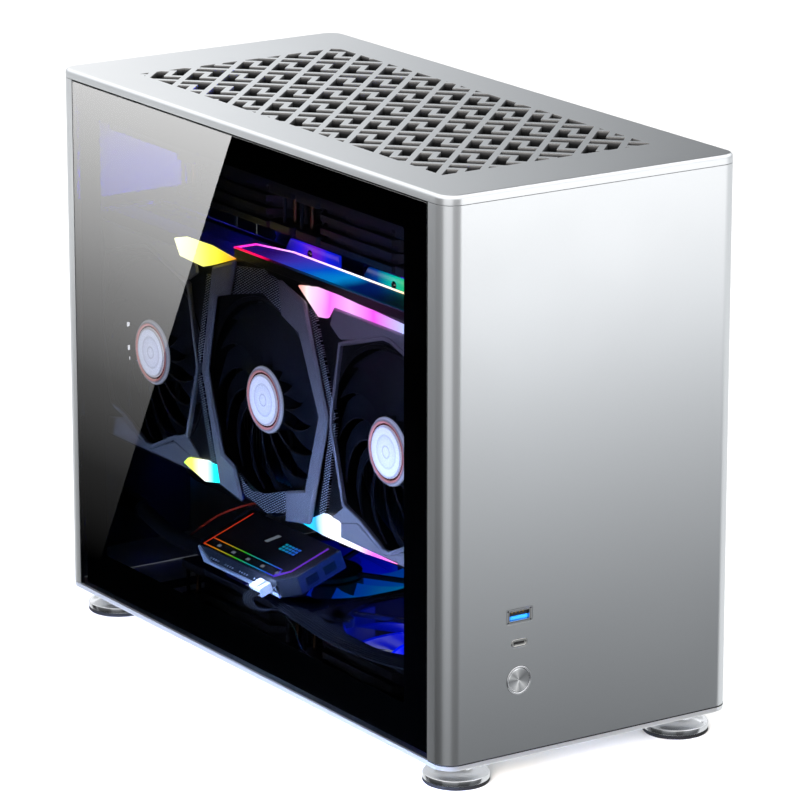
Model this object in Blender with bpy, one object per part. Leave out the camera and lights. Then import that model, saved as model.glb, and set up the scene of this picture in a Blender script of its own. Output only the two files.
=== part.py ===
"""Compact desktop computer tower: satin aluminium case, glass side, one graphics card seen through it.

Metres, +Z up. The origin is under the middle of the case, on the surface that it stands on.
The front faces -Y, the glass side faces -X and the rear, with its connectors, faces +Y.
"""

import math

import bmesh
import bpy
from mathutils import Matrix, Vector

# Case
WIDTH = 0.183
DEPTH = 0.384
FRONT_RADIUS = 0.010
REAR_RADIUS = 0.0088
SEAM = 0.0003
FOOT_HEIGHT = 0.013
BASE_THICK = 0.003
BODY_HEIGHT = 0.2937
TOP_THICK = 0.005
FRONT_WALL = 0.0035
REAR_WALL = 0.0025
SIDE_THICK = 0.004
FRONT_STRIP = 0.0162
REAR_STRIP = 0.013

HALF_W = WIDTH / 2
HALF_D = DEPTH / 2
BASE_TOP = FOOT_HEIGHT + BASE_THICK
BODY_LOW = BASE_TOP + SEAM
BODY_HIGH = BODY_LOW + BODY_HEIGHT
TOP_LOW = BODY_HIGH + SEAM
SIDE_FRONT = -HALF_D + FRONT_STRIP + SEAM
SIDE_REAR = HALF_D - REAR_STRIP - SEAM

# Lattice window in the top cover: bars at 45 degrees, links across them, and a Z-shaped key in each cell
WINDOW = (0.1304, 0.2988)
BAR = 0.0036
CELL_LONG = 0.03454
CELL_WIDE = 0.02028
KEY_OFFSET = 0.01073
LINK_START = 0.01276
CELL_MIDDLE = 0.00666

# Feet
FOOT_X = 0.0705
FOOT_Y = 0.1715
FOOT_RADIUS = 0.0175
PAD_RADIUS = 0.0168
PAD_THICK = 0.0015

# Front controls: distance from the left edge, heights above the stand
PORT_X = -HALF_W + 0.046
USB_A_Z = 0.0902
USB_C_Z = 0.0755
BUTTON_Z = 0.0554
BEZEL_RADIUS = 0.00765
CAP_RADIUS = 0.00625
BUTTON_TRAVEL = 0.001

# Case fans
FAN_SIZE = 0.120
FAN_DEPTH = 0.025
FAN_BORE = 0.0575
FAN_Y = 0.0610
ROOF_Z = 0.2773
ROOF_THICK = 0.002
RAIL_INNER = 0.0480
RAIL_OUTER = 0.0640
RAIL_LIP = 0.0015
TOP_FAN_Z = ROOF_Z - SEAM - FAN_DEPTH
BOTTOM_FAN_Z = BODY_LOW

# Motherboard, parallel to the right side
BOARD_X = 0.0665
BOARD_THICK = 0.0016
BOARD_SIDE = 0.170
BOARD_REAR = HALF_D - 0.006
BOARD_LOW = 0.100

# Graphics card, standing parallel to the glass
CARD_FACE = -0.080
CARD_LOW = 0.105
CARD_HIGH = 0.2405
CARD_FRONT = -0.1775
CARD_REAR = 0.1765
CARD_HUB_Z = 0.1655
CARD_HUBS = {"front": -0.1195, "middle": 0.0, "rear": 0.1175}
CARD_OPENING = 0.0560
CARD_TIP = 0.0525
CARD_HUB_RADIUS = 0.0185

# Power supply, upright behind the front panel
PSU_LOW = (0.004, -0.1785, 0.124)
PSU_HIGH = (0.0675, -0.0785, 0.249)
ROCKER_REST = -10


def material(name, colour, roughness, metallic):
    made = bpy.data.materials.new(name)
    made.use_nodes = True
    shader = made.node_tree.nodes["Principled BSDF"]
    shader.inputs["Base Color"].default_value = (*colour, 1.0)
    shader.inputs["Roughness"].default_value = roughness
    shader.inputs["Metallic"].default_value = metallic
    made.diffuse_color = (*colour, 1.0)
    return made


# Shapes: each returns a bmesh that holds one closed body


def closed(shape):
    bmesh.ops.recalc_face_normals(shape, faces=shape.faces)
    return shape


def block(low, high):
    shape = bmesh.new()
    bmesh.ops.create_cube(shape, size=1.0)
    low, high = Vector(low), Vector(high)
    bmesh.ops.scale(shape, verts=shape.verts, vec=high - low)
    bmesh.ops.translate(shape, verts=shape.verts, vec=(high + low) / 2)
    return shape


def along(axis, across, up, run):
    """A point given by two coordinates across an axis and one along it."""
    return {
        "X": Vector((run, across, up)),
        "Y": Vector((across, run, up)),
        "Z": Vector((across, up, run)),
    }[axis]


def prism(outline, axis, start, end):
    shape = bmesh.new()
    corners = [shape.verts.new(along(axis, across, up, start)) for across, up in outline]
    face = shape.faces.new(corners)
    extruded = bmesh.ops.extrude_face_region(shape, geom=[face])["geom"]
    moved = [item for item in extruded if isinstance(item, bmesh.types.BMVert)]
    bmesh.ops.translate(shape, verts=moved, vec=along(axis, 0.0, 0.0, end - start))
    return closed(shape)


def disc(centre, axis, radius, start, end, sides=32):
    outline = [
        (centre[0] + radius * math.cos(turn), centre[1] + radius * math.sin(turn))
        for turn in (math.tau * step / sides for step in range(sides))
    ]
    return prism(outline, axis, start, end)


def arc(centre, radius, start, end, steps):
    """Points on an arc, angles in degrees."""
    turns = [math.radians(start + (end - start) * step / steps) for step in range(steps + 1)]
    return [(centre[0] + radius * math.cos(t), centre[1] + radius * math.sin(t)) for t in turns]


def rounded_outline(half_x, half_y, radius, steps=3):
    """A rectangle about the origin whose four corners are arcs."""
    outline = []
    for sign_x, sign_y, start in ((1, 1, 0), (-1, 1, 90), (-1, -1, 180), (1, -1, 270)):
        centre = (sign_x * (half_x - radius), sign_y * (half_y - radius))
        outline += arc(centre, radius, start, start + 90, steps)
    return outline


def moved(outline, across, up):
    return [(a + across, b + up) for a, b in outline]


def turned(profile, centre, steps=40):
    """A profile of (radius, height) points turned about an upright axis; its ends lie on the axis."""
    shape = bmesh.new()
    verts = [shape.verts.new((radius, 0.0, height)) for radius, height in profile]
    edges = [shape.edges.new(pair) for pair in zip(verts, verts[1:])]
    bmesh.ops.spin(
        shape,
        geom=verts + edges,
        cent=(0, 0, 0),
        axis=(0, 0, 1),
        angle=math.tau,
        steps=steps,
        use_merge=True,
    )
    bmesh.ops.remove_doubles(shape, verts=shape.verts, dist=1e-6)
    bmesh.ops.translate(shape, verts=shape.verts, vec=centre)
    return closed(shape)


def group(shapes):
    """Several bodies in one bmesh, for use as one cutter or one set of additions."""
    whole = bmesh.new()
    for shape in shapes:
        mesh = bpy.data.meshes.new("part_of_group")
        shape.to_mesh(mesh)
        shape.free()
        whole.from_mesh(mesh)
        bpy.data.meshes.remove(mesh)
    return whole


def turn_shape(shape, angle, axis, pivot):
    matrix = Matrix.Rotation(math.radians(angle), 3, axis)
    bmesh.ops.rotate(shape, verts=shape.verts, cent=pivot, matrix=matrix)
    return shape


# Objects


def add(name, shape, finish, origin=(0, 0, 0)):
    """Makes the named object from a bmesh in world coordinates, with its origin at the given point."""
    bmesh.ops.translate(shape, verts=shape.verts, vec=-Vector(origin))
    mesh = bpy.data.meshes.new(name)
    shape.to_mesh(mesh)
    shape.free()
    mesh.materials.append(finish)
    obj = bpy.data.objects.new(name, mesh)
    obj.location = origin
    bpy.context.scene.collection.objects.link(obj)
    return obj


def smooth(obj, angle=40):
    obj.data.shade_smooth()
    obj.data.set_sharp_from_angle(angle=math.radians(angle))
    return obj


def helper(name, shape):
    mesh = bpy.data.meshes.new(name)
    shape.to_mesh(mesh)
    shape.free()
    obj = bpy.data.objects.new(name, mesh)
    obj.hide_render = True
    obj.display_type = "WIRE"
    bpy.context.scene.collection.objects.link(obj)
    return obj


def combine(obj, operation, shapes):
    """Cuts the shapes from the object, or joins them to it; world coordinates."""
    other = helper(f"{obj.name}_{operation.lower()}", group(shapes))
    modifier = obj.modifiers.new(operation.title(), "BOOLEAN")
    modifier.operation = operation
    modifier.solver = "EXACT"
    modifier.object = other
    return other


def round_edges(shape, radius, chosen, steps=3):
    """Bevels the edges for which chosen(edge) holds."""
    edges = [edge for edge in shape.edges if chosen(edge)]
    bmesh.ops.bevel(
        shape,
        geom=edges,
        offset=radius,
        offset_type="OFFSET",
        segments=steps,
        profile=0.5,
        affect="EDGES",
        material=-1,
    )
    return shape


def level_with(height):
    return lambda edge: all(abs(vert.co.z - height) < 1e-6 for vert in edge.verts)


# Case shells


def plan_outline(inset=0.0, steps=6):
    """The case seen from above, with its larger corner radius at the front."""
    outline = []
    corners = (
        (1, 1, REAR_RADIUS, 0),
        (-1, 1, REAR_RADIUS, 90),
        (-1, -1, FRONT_RADIUS, 180),
        (1, -1, FRONT_RADIUS, 270),
    )
    for sign_x, sign_y, radius, start in corners:
        centre = (sign_x * (HALF_W - radius), sign_y * (HALF_D - radius))
        outline += arc(centre, radius - inset, start, start + 90, steps)
    return outline


def wrap_outline(sign, radius, wall, strip, steps=6):
    """The plan of a panel that covers one end of the case and turns both corners. sign is -1 at the front."""
    end = sign * (HALF_D - strip)
    centre_x = HALF_W - radius
    centre_y = sign * (HALF_D - radius)
    right = arc((centre_x, centre_y), radius, 0, sign * 90, steps)
    left = [(-x, y) for x, y in reversed(right)]
    inner_right = arc((centre_x, centre_y), radius - wall, 0, sign * 90, steps)
    inner_left = [(-x, y) for x, y in reversed(inner_right)]
    outer = [(HALF_W, end)] + right + left + [(-HALF_W, end)]
    inner = [(HALF_W - wall, end)] + inner_right + inner_left + [(-HALF_W + wall, end)]
    return outer + list(reversed(inner))


def make_base_plate(finish):
    shape = prism(plan_outline(), "Z", FOOT_HEIGHT, BASE_TOP)
    round_edges(shape, 0.001, level_with(FOOT_HEIGHT), 2)
    plate = smooth(add("base_plate", shape, finish))
    slots = []
    for fan_y in (-FAN_Y, FAN_Y):
        for row in range(7):
            y = fan_y + (row - 3) * 0.014
            half = math.sqrt(0.053**2 - (abs(row - 3) * 0.014) ** 2) - 0.001
            slots.append(prism(moved(rounded_outline(half, 0.0035, 0.0034, 2), 0, y), "Z", 0.010, 0.020))
    combine(plate, "DIFFERENCE", slots)


def make_front_panel(finish):
    outline = wrap_outline(-1, FRONT_RADIUS, FRONT_WALL, FRONT_STRIP)
    panel = smooth(add("front_panel", prism(outline, "Z", BODY_LOW, BODY_HIGH), finish))
    through = (-HALF_D - 0.002, -HALF_D + FRONT_WALL + 0.002)
    combine(
        panel,
        "DIFFERENCE",
        [
            prism(moved(rounded_outline(0.0083, 0.00405, 0.0008, 2), PORT_X, USB_A_Z), "Y", *through),
            prism(moved(rounded_outline(0.0052, 0.0023, 0.00229, 4), PORT_X, USB_C_Z), "Y", *through),
            disc((PORT_X, BUTTON_Z), "Y", BEZEL_RADIUS + 0.0002, *through, 28),
        ],
    )


IO_LOW = (BOARD_X - 0.0437, BOARD_LOW + 0.0055)
IO_SIZE = (0.0440, 0.1580)
INLET_CENTRE = (0.058, 0.060)


def slot_x(index):
    return -0.0660 + index * 0.0203


def make_rear_panel(finish):
    outline = wrap_outline(1, REAR_RADIUS, REAR_WALL, REAR_STRIP)
    panel = smooth(add("rear_panel", prism(outline, "Z", BODY_LOW, BODY_HIGH), finish))
    through = (HALF_D - REAR_WALL - 0.002, HALF_D + 0.002)
    cuts = [
        block(
            (IO_LOW[0], through[0], IO_LOW[1]), (IO_LOW[0] + IO_SIZE[0], through[1], IO_LOW[1] + IO_SIZE[1])
        ),
        block((INLET_CENTRE[0] - 0.0138, through[0], INLET_CENTRE[1] - 0.0100),
              (INLET_CENTRE[0] + 0.0138, through[1], INLET_CENTRE[1] + 0.0100)),
    ]
    for index in range(2):
        x = slot_x(index)
        cuts.append(block((x - 0.0065, through[0], 0.122), (x + 0.0065, through[1], 0.228)))
    for row in range(9):
        z = 0.244 + row * 0.0062
        cuts.append(prism(moved(rounded_outline(0.0260, 0.0016, 0.00155, 2), -0.0480, z), "Y", *through))
    for row in range(8):
        z = 0.040 + row * 0.0062
        cuts.append(prism(moved(rounded_outline(0.0260, 0.0016, 0.00155, 2), -0.0480, z), "Y", *through))
    combine(panel, "DIFFERENCE", cuts)


def lattice_openings():
    """The two L-shaped openings that the Z key leaves in each cell of the lattice."""
    half_bar = BAR / 2
    half_cell = CELL_WIDE / 2 - half_bar
    far = CELL_LONG - half_bar
    near_key = KEY_OFFSET - half_bar
    far_key = KEY_OFFSET + half_bar
    first = [
        (half_bar, -half_cell),
        (near_key, -half_cell),
        (near_key, half_bar),
        (CELL_LONG - far_key, half_bar),
        (CELL_LONG - far_key, half_cell),
        (half_bar, half_cell),
    ]
    second = [(CELL_LONG - u, -v) for u, v in first]
    half_x, half_y = WINDOW[0] / 2, WINDOW[1] / 2
    reach = half_x + half_y
    openings = []
    for row in range(-int(reach / CELL_WIDE) - 1, int(reach / CELL_WIDE) + 2):
        for column in range(-int(reach / CELL_LONG) - 2, int(reach / CELL_LONG) + 2):
            for outline in (first, second):
                placed = []
                for u, v in outline:
                    u += LINK_START + column * CELL_LONG
                    v = CELL_MIDDLE + row * CELL_WIDE - v
                    placed.append(((u + v) * math.sqrt(0.5), (u - v) * math.sqrt(0.5)))
                middle_x = sum(x for x, _ in placed) / len(placed)
                middle_y = sum(y for _, y in placed) / len(placed)
                if abs(middle_x) < half_x + 0.012 and abs(middle_y) < half_y + 0.012:
                    openings.append(prism(placed, "Z", TOP_LOW - 0.002, TOP_LOW + TOP_THICK + 0.002))
    return openings


def make_top_cover(finish):
    shape = prism(plan_outline(), "Z", TOP_LOW, TOP_LOW + TOP_THICK)
    round_edges(shape, 0.0022, level_with(TOP_LOW + TOP_THICK), 3)
    cover = smooth(add("top_cover", shape, finish), 30)
    window = helper(
        "lattice_window",
        block(
            (-WINDOW[0] / 2, -WINDOW[1] / 2, TOP_LOW - 0.001),
            (WINDOW[0] / 2, WINDOW[1] / 2, TOP_LOW + TOP_THICK + 0.001),
        ),
    )
    openings = combine(cover, "DIFFERENCE", lattice_openings())
    trim = openings.modifiers.new("Window", "BOOLEAN")
    trim.operation = "INTERSECT"
    trim.solver = "EXACT"
    trim.object = window


def make_roof_rails(finish):
    """Two rails under the top cover, which the upper fans hang from."""
    for name, sign in (("left", -1), ("right", 1)):
        inner, outer = sorted((sign * RAIL_INNER, sign * RAIL_OUTER))
        rail = block((inner, -HALF_D + 0.0075, ROOF_Z), (outer, HALF_D - 0.0065, ROOF_Z + ROOF_THICK))
        obj = add(f"roof_rail_{name}", rail, finish)
        lip_low, lip_high = sorted((sign * (RAIL_OUTER - RAIL_LIP), sign * RAIL_OUTER))
        lip = block(
            (lip_low, -HALF_D + 0.0075, ROOF_Z + 0.001), (lip_high, HALF_D - 0.0065, BODY_HIGH - 0.001)
        )
        combine(obj, "UNION", [lip])


def make_side_panels(glass, metal, steel):
    low = (-HALF_W, SIDE_FRONT, BODY_LOW + SEAM)
    high = (-HALF_W + SIDE_THICK, SIDE_REAR, BODY_HIGH - SEAM)
    add("glass_panel", block(low, high), glass)
    carriers = {
        "front": (SIDE_FRONT + 0.002, SIDE_FRONT + 0.014), "rear": (SIDE_REAR - 0.016, SIDE_REAR - 0.004)
    }
    for name, (start, end) in carriers.items():
        inner = -HALF_W + SIDE_THICK + SEAM
        carrier = add(
            f"glass_carrier_{name}", block((inner, start, 0.024), (inner + 0.0012, end, 0.302)), steel
        )
        studs = [
            disc(((start + end) / 2, z), "X", 0.0028, inner + 0.0008, inner + 0.0060, 14)
            for z in (0.040, 0.262)
        ]
        combine(carrier, "UNION", studs)
    low = (HALF_W - SIDE_THICK / 2, SIDE_FRONT, BODY_LOW + SEAM)
    high = (HALF_W, SIDE_REAR, BODY_HIGH - SEAM)
    panel = smooth(add("right_panel", block(low, high), metal))
    slots = []
    for column_y, column_z, rows in ((-0.1285, 0.1865, 9), (0.095, 0.200, 9)):
        for row in range(rows):
            y = column_y + (row - (rows - 1) / 2) * 0.0100
            outline = moved(rounded_outline(0.0025, 0.0480, 0.0024, 2), y, column_z)
            slots.append(prism(outline, "X", HALF_W - 0.006, HALF_W + 0.004))
    combine(panel, "DIFFERENCE", slots)


def make_feet(polished, rubber):
    rim_low = PAD_THICK + SEAM
    neck_top = FOOT_HEIGHT - SEAM
    profile = [
        (0.0, neck_top),
        (0.0098, neck_top),
        (0.0100, neck_top - 0.0012),
        (0.0116, neck_top - 0.0030),
        (0.0140, neck_top - 0.0044),
        (FOOT_RADIUS - 0.0004, neck_top - 0.0046),
        (FOOT_RADIUS, neck_top - 0.0050),
        (FOOT_RADIUS, rim_low + 0.0008),
        (FOOT_RADIUS - 0.0006, rim_low),
        (0.0, rim_low),
    ]
    pad = [(0.0, PAD_THICK), (PAD_RADIUS, PAD_THICK), (PAD_RADIUS, 0.0), (0.0, 0.0)]
    for depth, sign_y in (("front", -1), ("rear", 1)):
        for side, sign_x in (("left", -1), ("right", 1)):
            centre = (sign_x * FOOT_X, sign_y * FOOT_Y, 0.0)
            smooth(add(f"foot_{depth}_{side}", turned(profile, centre, 24), polished), 50)
            smooth(add(f"foot_pad_{depth}_{side}", turned(pad, centre, 24), rubber))


# Front controls


def make_power_button(metal, plastic):
    face = -HALF_D
    centre = (PORT_X, BUTTON_Z)
    bezel = smooth(
        add("power_button_bezel", disc(centre, "Y", BEZEL_RADIUS, face - 0.0003, face + 0.0080), metal)
    )
    combine(bezel, "DIFFERENCE", [disc(centre, "Y", CAP_RADIUS + 0.0002, face - 0.002, face + 0.010)])
    origin = (PORT_X, face, BUTTON_Z)
    cap = smooth(add("power_button_cap", disc(centre, "Y", CAP_RADIUS, face, face + 0.0062), metal, origin))
    combine(cap, "UNION", [disc(centre, "Y", 0.0016, face + 0.0055, face + 0.0090, 16)])
    body = smooth(
        add("power_switch_body", disc(centre, "Y", 0.0092, face + 0.0083, face + 0.0240, 24), plastic)
    )
    combine(body, "DIFFERENCE", [disc(centre, "Y", 0.0020, face + 0.0070, face + 0.0115, 16)])


def make_ports(metal, board):
    face = -HALF_D
    shell_a = smooth(
        add("usb_a_port", prism(moved(rounded_outline(0.00655, 0.00285, 0.0005, 2), PORT_X, USB_A_Z), "Y",
                                face + 0.0008, face + 0.0165), metal)
    )
    combine(
        shell_a,
        "DIFFERENCE",
        [
            block(
                (PORT_X - 0.0061, face - 0.001, USB_A_Z - 0.0024),
                (PORT_X + 0.0061, face + 0.0140, USB_A_Z + 0.0024),
            ),
        ],
    )
    combine(
        shell_a,
        "UNION",
        [
            block(
                (PORT_X - 0.0056, face + 0.0022, USB_A_Z - 0.0020),
                (PORT_X + 0.0056, face + 0.0150, USB_A_Z - 0.0002),
            ),
        ],
    )
    shell_c = smooth(
        add("usb_c_port", prism(moved(rounded_outline(0.00447, 0.00165, 0.00164, 4), PORT_X, USB_C_Z), "Y",
                                face + 0.0006, face + 0.0110), metal)
    )
    combine(
        shell_c,
        "DIFFERENCE",
        [
            prism(
                moved(rounded_outline(0.00417, 0.00135, 0.00134, 4), PORT_X, USB_C_Z),
                "Y",
                face - 0.001,
                face + 0.0085,
            ),
        ],
    )
    combine(
        shell_c,
        "UNION",
        [
            block(
                (PORT_X - 0.00335, face + 0.0016, USB_C_Z - 0.00035),
                (PORT_X + 0.00335, face + 0.0095, USB_C_Z + 0.00035),
            ),
        ],
    )
    add(
        "front_io_board",
        block(
            (PORT_X - 0.0130, face + 0.0050, USB_A_Z - 0.0051),
            (PORT_X + 0.0130, face + 0.0260, USB_A_Z - 0.0035),
        ),
        board,
    )


# Case fans and rotors


def blade(number, count, hub_radius, tip_radius, low, high, sweep, thick):
    """One pitched, swept fan blade about the Z axis, as a thin solid."""
    shape = bmesh.new()
    bmesh.ops.create_cube(shape, size=1.0)
    radial = [edge for edge in shape.edges if abs(edge.verts[0].co.x - edge.verts[1].co.x) > 0.5]
    bmesh.ops.subdivide_edges(shape, edges=radial, cuts=1)
    chord = math.tau / count * 0.82
    inner = hub_radius - 0.0015
    for vert in shape.verts:
        out, across, up = vert.co.x + 0.5, vert.co.y, vert.co.z
        radius = inner + out * (tip_radius - inner)
        turn = math.tau * number / count + math.radians(sweep) * out + across * chord
        rise = across * (high - low - thick) + up * thick
        vert.co = (radius * math.cos(turn), radius * math.sin(turn), (low + high) / 2 + rise)
    bmesh.ops.triangulate(shape, faces=shape.faces)
    return shape


def facing(shape, axis, centre):
    """Turns a shape built about +Z to face along the axis, then places it."""
    if axis == "X":
        bmesh.ops.rotate(
            shape, verts=shape.verts, cent=(0, 0, 0), matrix=Matrix.Rotation(math.pi / 2, 3, "Y")
        )
    bmesh.ops.translate(shape, verts=shape.verts, vec=centre)
    return shape


def make_rotor(name, centre, axis, finish, hub, tip, low, high, count, sweep):
    """A fan's hub and blades, with its origin on its axis. low and high are measured along the axis."""
    hub_shape = facing(disc((0, 0), "Z", hub, low, high, 18), axis, centre)
    rotor = smooth(add(name, hub_shape, finish, centre), 35)
    blades = [
        facing(blade(number, count, hub, tip, low + 0.0008, high - 0.0008, sweep, 0.0012), axis, centre)
        for number in range(count)
    ]
    combine(rotor, "UNION", blades)


def make_fan_frame(name, centre, axis, finish, size, depth, bore, hub):
    """A square fan frame: two flanges joined by a ring, and a motor mount on four struts at the high end."""
    half = size / 2
    flange = 0.0038
    mount = 0.0030
    outline = rounded_outline(half, half, 0.006, 2)

    def place(shape):
        return facing(shape, axis, centre)

    frame = smooth(add(name, place(prism(outline, "Z", 0.0, flange)), finish), 35)
    combine(
        frame,
        "UNION",
        [place(disc((0, 0), "Z", half - 0.0003, flange - 0.001, depth - flange + 0.001, 24))],
    )
    combine(frame, "UNION", [place(prism(outline, "Z", depth - flange, depth))])
    combine(frame, "DIFFERENCE", [place(disc((0, 0), "Z", bore, -0.002, depth + 0.002, 24))])
    arm = 0.0022
    reach = bore + 0.0008
    cross = [
        (reach, -arm), (reach, arm), (arm, arm), (arm, reach), (-arm, reach), (-arm, arm),
        (-reach, arm), (-reach, -arm), (-arm, -arm), (-arm, -reach), (arm, -reach), (arm, -arm),
    ]
    tilt = Matrix.Rotation(math.radians(32), 2)
    cross = [tuple(tilt @ Vector(point)) for point in cross]
    combine(frame, "UNION", [place(prism(cross, "Z", depth - mount, depth - 0.0002))])
    combine(frame, "UNION", [place(disc((0, 0), "Z", hub, depth - mount - 0.0004, depth - 0.0004, 16))])


def make_case_fans(plastic, dark):
    for level, low in (("top", TOP_FAN_Z), ("bottom", BOTTOM_FAN_Z)):
        for place, y in (("front", -FAN_Y), ("rear", FAN_Y)):
            centre = (0.0, y, low)
            make_fan_frame(
                f"{level}_fan_frame_{place}", centre, "Z", plastic, FAN_SIZE, FAN_DEPTH, FAN_BORE, 0.0200
            )
            make_rotor(
                f"{level}_fan_rotor_{place}", centre, "Z", dark, 0.0205, FAN_BORE - 0.0015, 0.0015, 0.0205, 7, 18
            )


# Graphics card


def make_card(shroud_finish, dark, board, heatsink, steel, lit):
    depth = 0.0180
    outline = [
        (CARD_FRONT, CARD_LOW + 0.012), (CARD_FRONT + 0.012, CARD_LOW), (CARD_REAR - 0.012, CARD_LOW),
        (CARD_REAR, CARD_LOW + 0.012), (CARD_REAR, CARD_HIGH - 0.016),
        (CARD_REAR - 0.012, CARD_HIGH - 0.0030),
        (CARD_FRONT + 0.012, CARD_HIGH - 0.0030), (CARD_FRONT, CARD_HIGH - 0.016),
    ]
    shroud = smooth(add("gpu_shroud", prism(outline, "X", CARD_FACE, CARD_FACE + depth), shroud_finish))
    openings = [
        disc((y, CARD_HUB_Z), "X", CARD_OPENING, CARD_FACE - 0.002, CARD_FACE + depth + 0.002, 32)
        for y in CARD_HUBS.values()
    ]
    combine(shroud, "DIFFERENCE", openings)
    for place, y in CARD_HUBS.items():
        centre = (CARD_FACE + 0.0005, y, CARD_HUB_Z)
        make_rotor(
            f"gpu_fan_rotor_{place}", centre, "X", dark, CARD_HUB_RADIUS, CARD_TIP, 0.0, 0.0120, 9, 24
        )
    fins_start = CARD_FACE + depth + 0.0004
    fins_end = CARD_FACE + 0.0400
    comb = [(fins_end, CARD_REAR - 0.006), (fins_end, CARD_FRONT + 0.006)]
    count = 24
    pitch = (CARD_REAR - CARD_FRONT - 0.012) / (count - 0.5)
    for fin in range(count):
        y = CARD_FRONT + 0.006 + fin * pitch
        comb += [(fins_start, y), (fins_start, y + pitch / 2)]
        if fin < count - 1:
            comb += [(fins_end - 0.003, y + pitch / 2), (fins_end - 0.003, y + pitch)]
    add("gpu_heatsink", prism(comb, "Z", CARD_LOW + 0.008, CARD_HIGH - 0.006), heatsink)
    pcb_x = fins_end + SEAM
    pcb_low = CARD_LOW + 0.0075
    pcb = [
        (CARD_FRONT + 0.030, pcb_low), (0.060, pcb_low), (0.060, CARD_LOW), (0.149, CARD_LOW),
        (0.149, pcb_low),
        (CARD_REAR, pcb_low), (CARD_REAR, CARD_HIGH - 0.0085), (CARD_FRONT + 0.030, CARD_HIGH - 0.0085),
    ]
    add("gpu_circuit_board", prism(pcb, "X", pcb_x, pcb_x + 0.0016), board)
    plate_x = pcb_x + 0.0016 + SEAM
    plate = [
        (CARD_FRONT + 0.004, pcb_low + 0.010), (CARD_FRONT + 0.014, pcb_low), (CARD_REAR - 0.002, pcb_low),
        (CARD_REAR - 0.002, CARD_HIGH - 0.005), (CARD_FRONT + 0.014, CARD_HIGH - 0.005),
        (CARD_FRONT + 0.004, CARD_HIGH - 0.015),
    ]
    back = add("gpu_backplate", prism(plate, "X", plate_x, plate_x + 0.0016), shroud_finish)
    slots = [
        prism(moved(rounded_outline(0.0016, 0.0300, 0.0015, 2), CARD_FRONT + 0.030 + row * 0.008, CARD_HUB_Z), "X",
              plate_x - 0.002, plate_x + 0.004)
        for row in range(7)
    ]
    combine(back, "DIFFERENCE", slots)
    add(
        "gpu_light_bar",
        block((CARD_FACE + 0.0010, -0.1500, CARD_HIGH - 0.0027), (CARD_FACE + 0.0225, 0.0290, CARD_HIGH)),
        lit,
    )
    bracket_y = HALF_D - REAR_WALL - 0.0016
    bracket = add(
        "gpu_slot_bracket",
        block((-0.0780, bracket_y, 0.1180), (plate_x + 0.0034, bracket_y + 0.0012, 0.2320)),
        steel,
    )
    flange_x = plate_x + 0.0016 + SEAM
    combine(
        bracket,
        "UNION",
        [block((flange_x, 0.1480, 0.1400), (flange_x + 0.0012, bracket_y + 0.0006, 0.2100))],
    )
    vents = [
        prism(moved(rounded_outline(0.0140, 0.0016, 0.0015, 2), -0.0575, 0.1340 + row * 0.0070), "Y",
              bracket_y - 0.002, bracket_y + 0.003)
        for row in range(6)
    ]
    combine(bracket, "DIFFERENCE", vents)


def make_riser(ribbon):
    """A flat ribbon from the card's edge, under it and up to the motherboard's slot, with a socket at each end."""
    card_x = CARD_FACE + 0.0411
    slot_x_low = 0.0400
    top = CARD_LOW - SEAM
    low = 0.0760
    thick = 0.0014
    outline = [
        (card_x - 0.0040, top), (card_x - 0.0040, top - 0.0120), (card_x - thick / 2, top - 0.0120),
        (card_x - thick / 2, low + 0.0060), (card_x + 0.0055, low), (slot_x_low + 0.0125, low),
        (slot_x_low + 0.0190, low + 0.0065), (slot_x_low + 0.0190, 0.1130), (0.0660, 0.1130),
        (0.0660, 0.1210), (slot_x_low + 0.0120, 0.1210), (slot_x_low + 0.0120, 0.1130),
        (slot_x_low + 0.0190 - thick, 0.1130), (slot_x_low + 0.0190 - thick, low + 0.0072),
        (slot_x_low + 0.0119, low + thick), (card_x + 0.0061, low + thick),
        (card_x + thick / 2, low + 0.0067),
        (card_x + thick / 2, top - 0.0120), (card_x + 0.0040, top - 0.0120), (card_x + 0.0040, top),
    ]
    add("riser_ribbon", prism(outline, "Y", 0.0620, 0.1470), ribbon)


# Motherboard and what it carries


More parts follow.
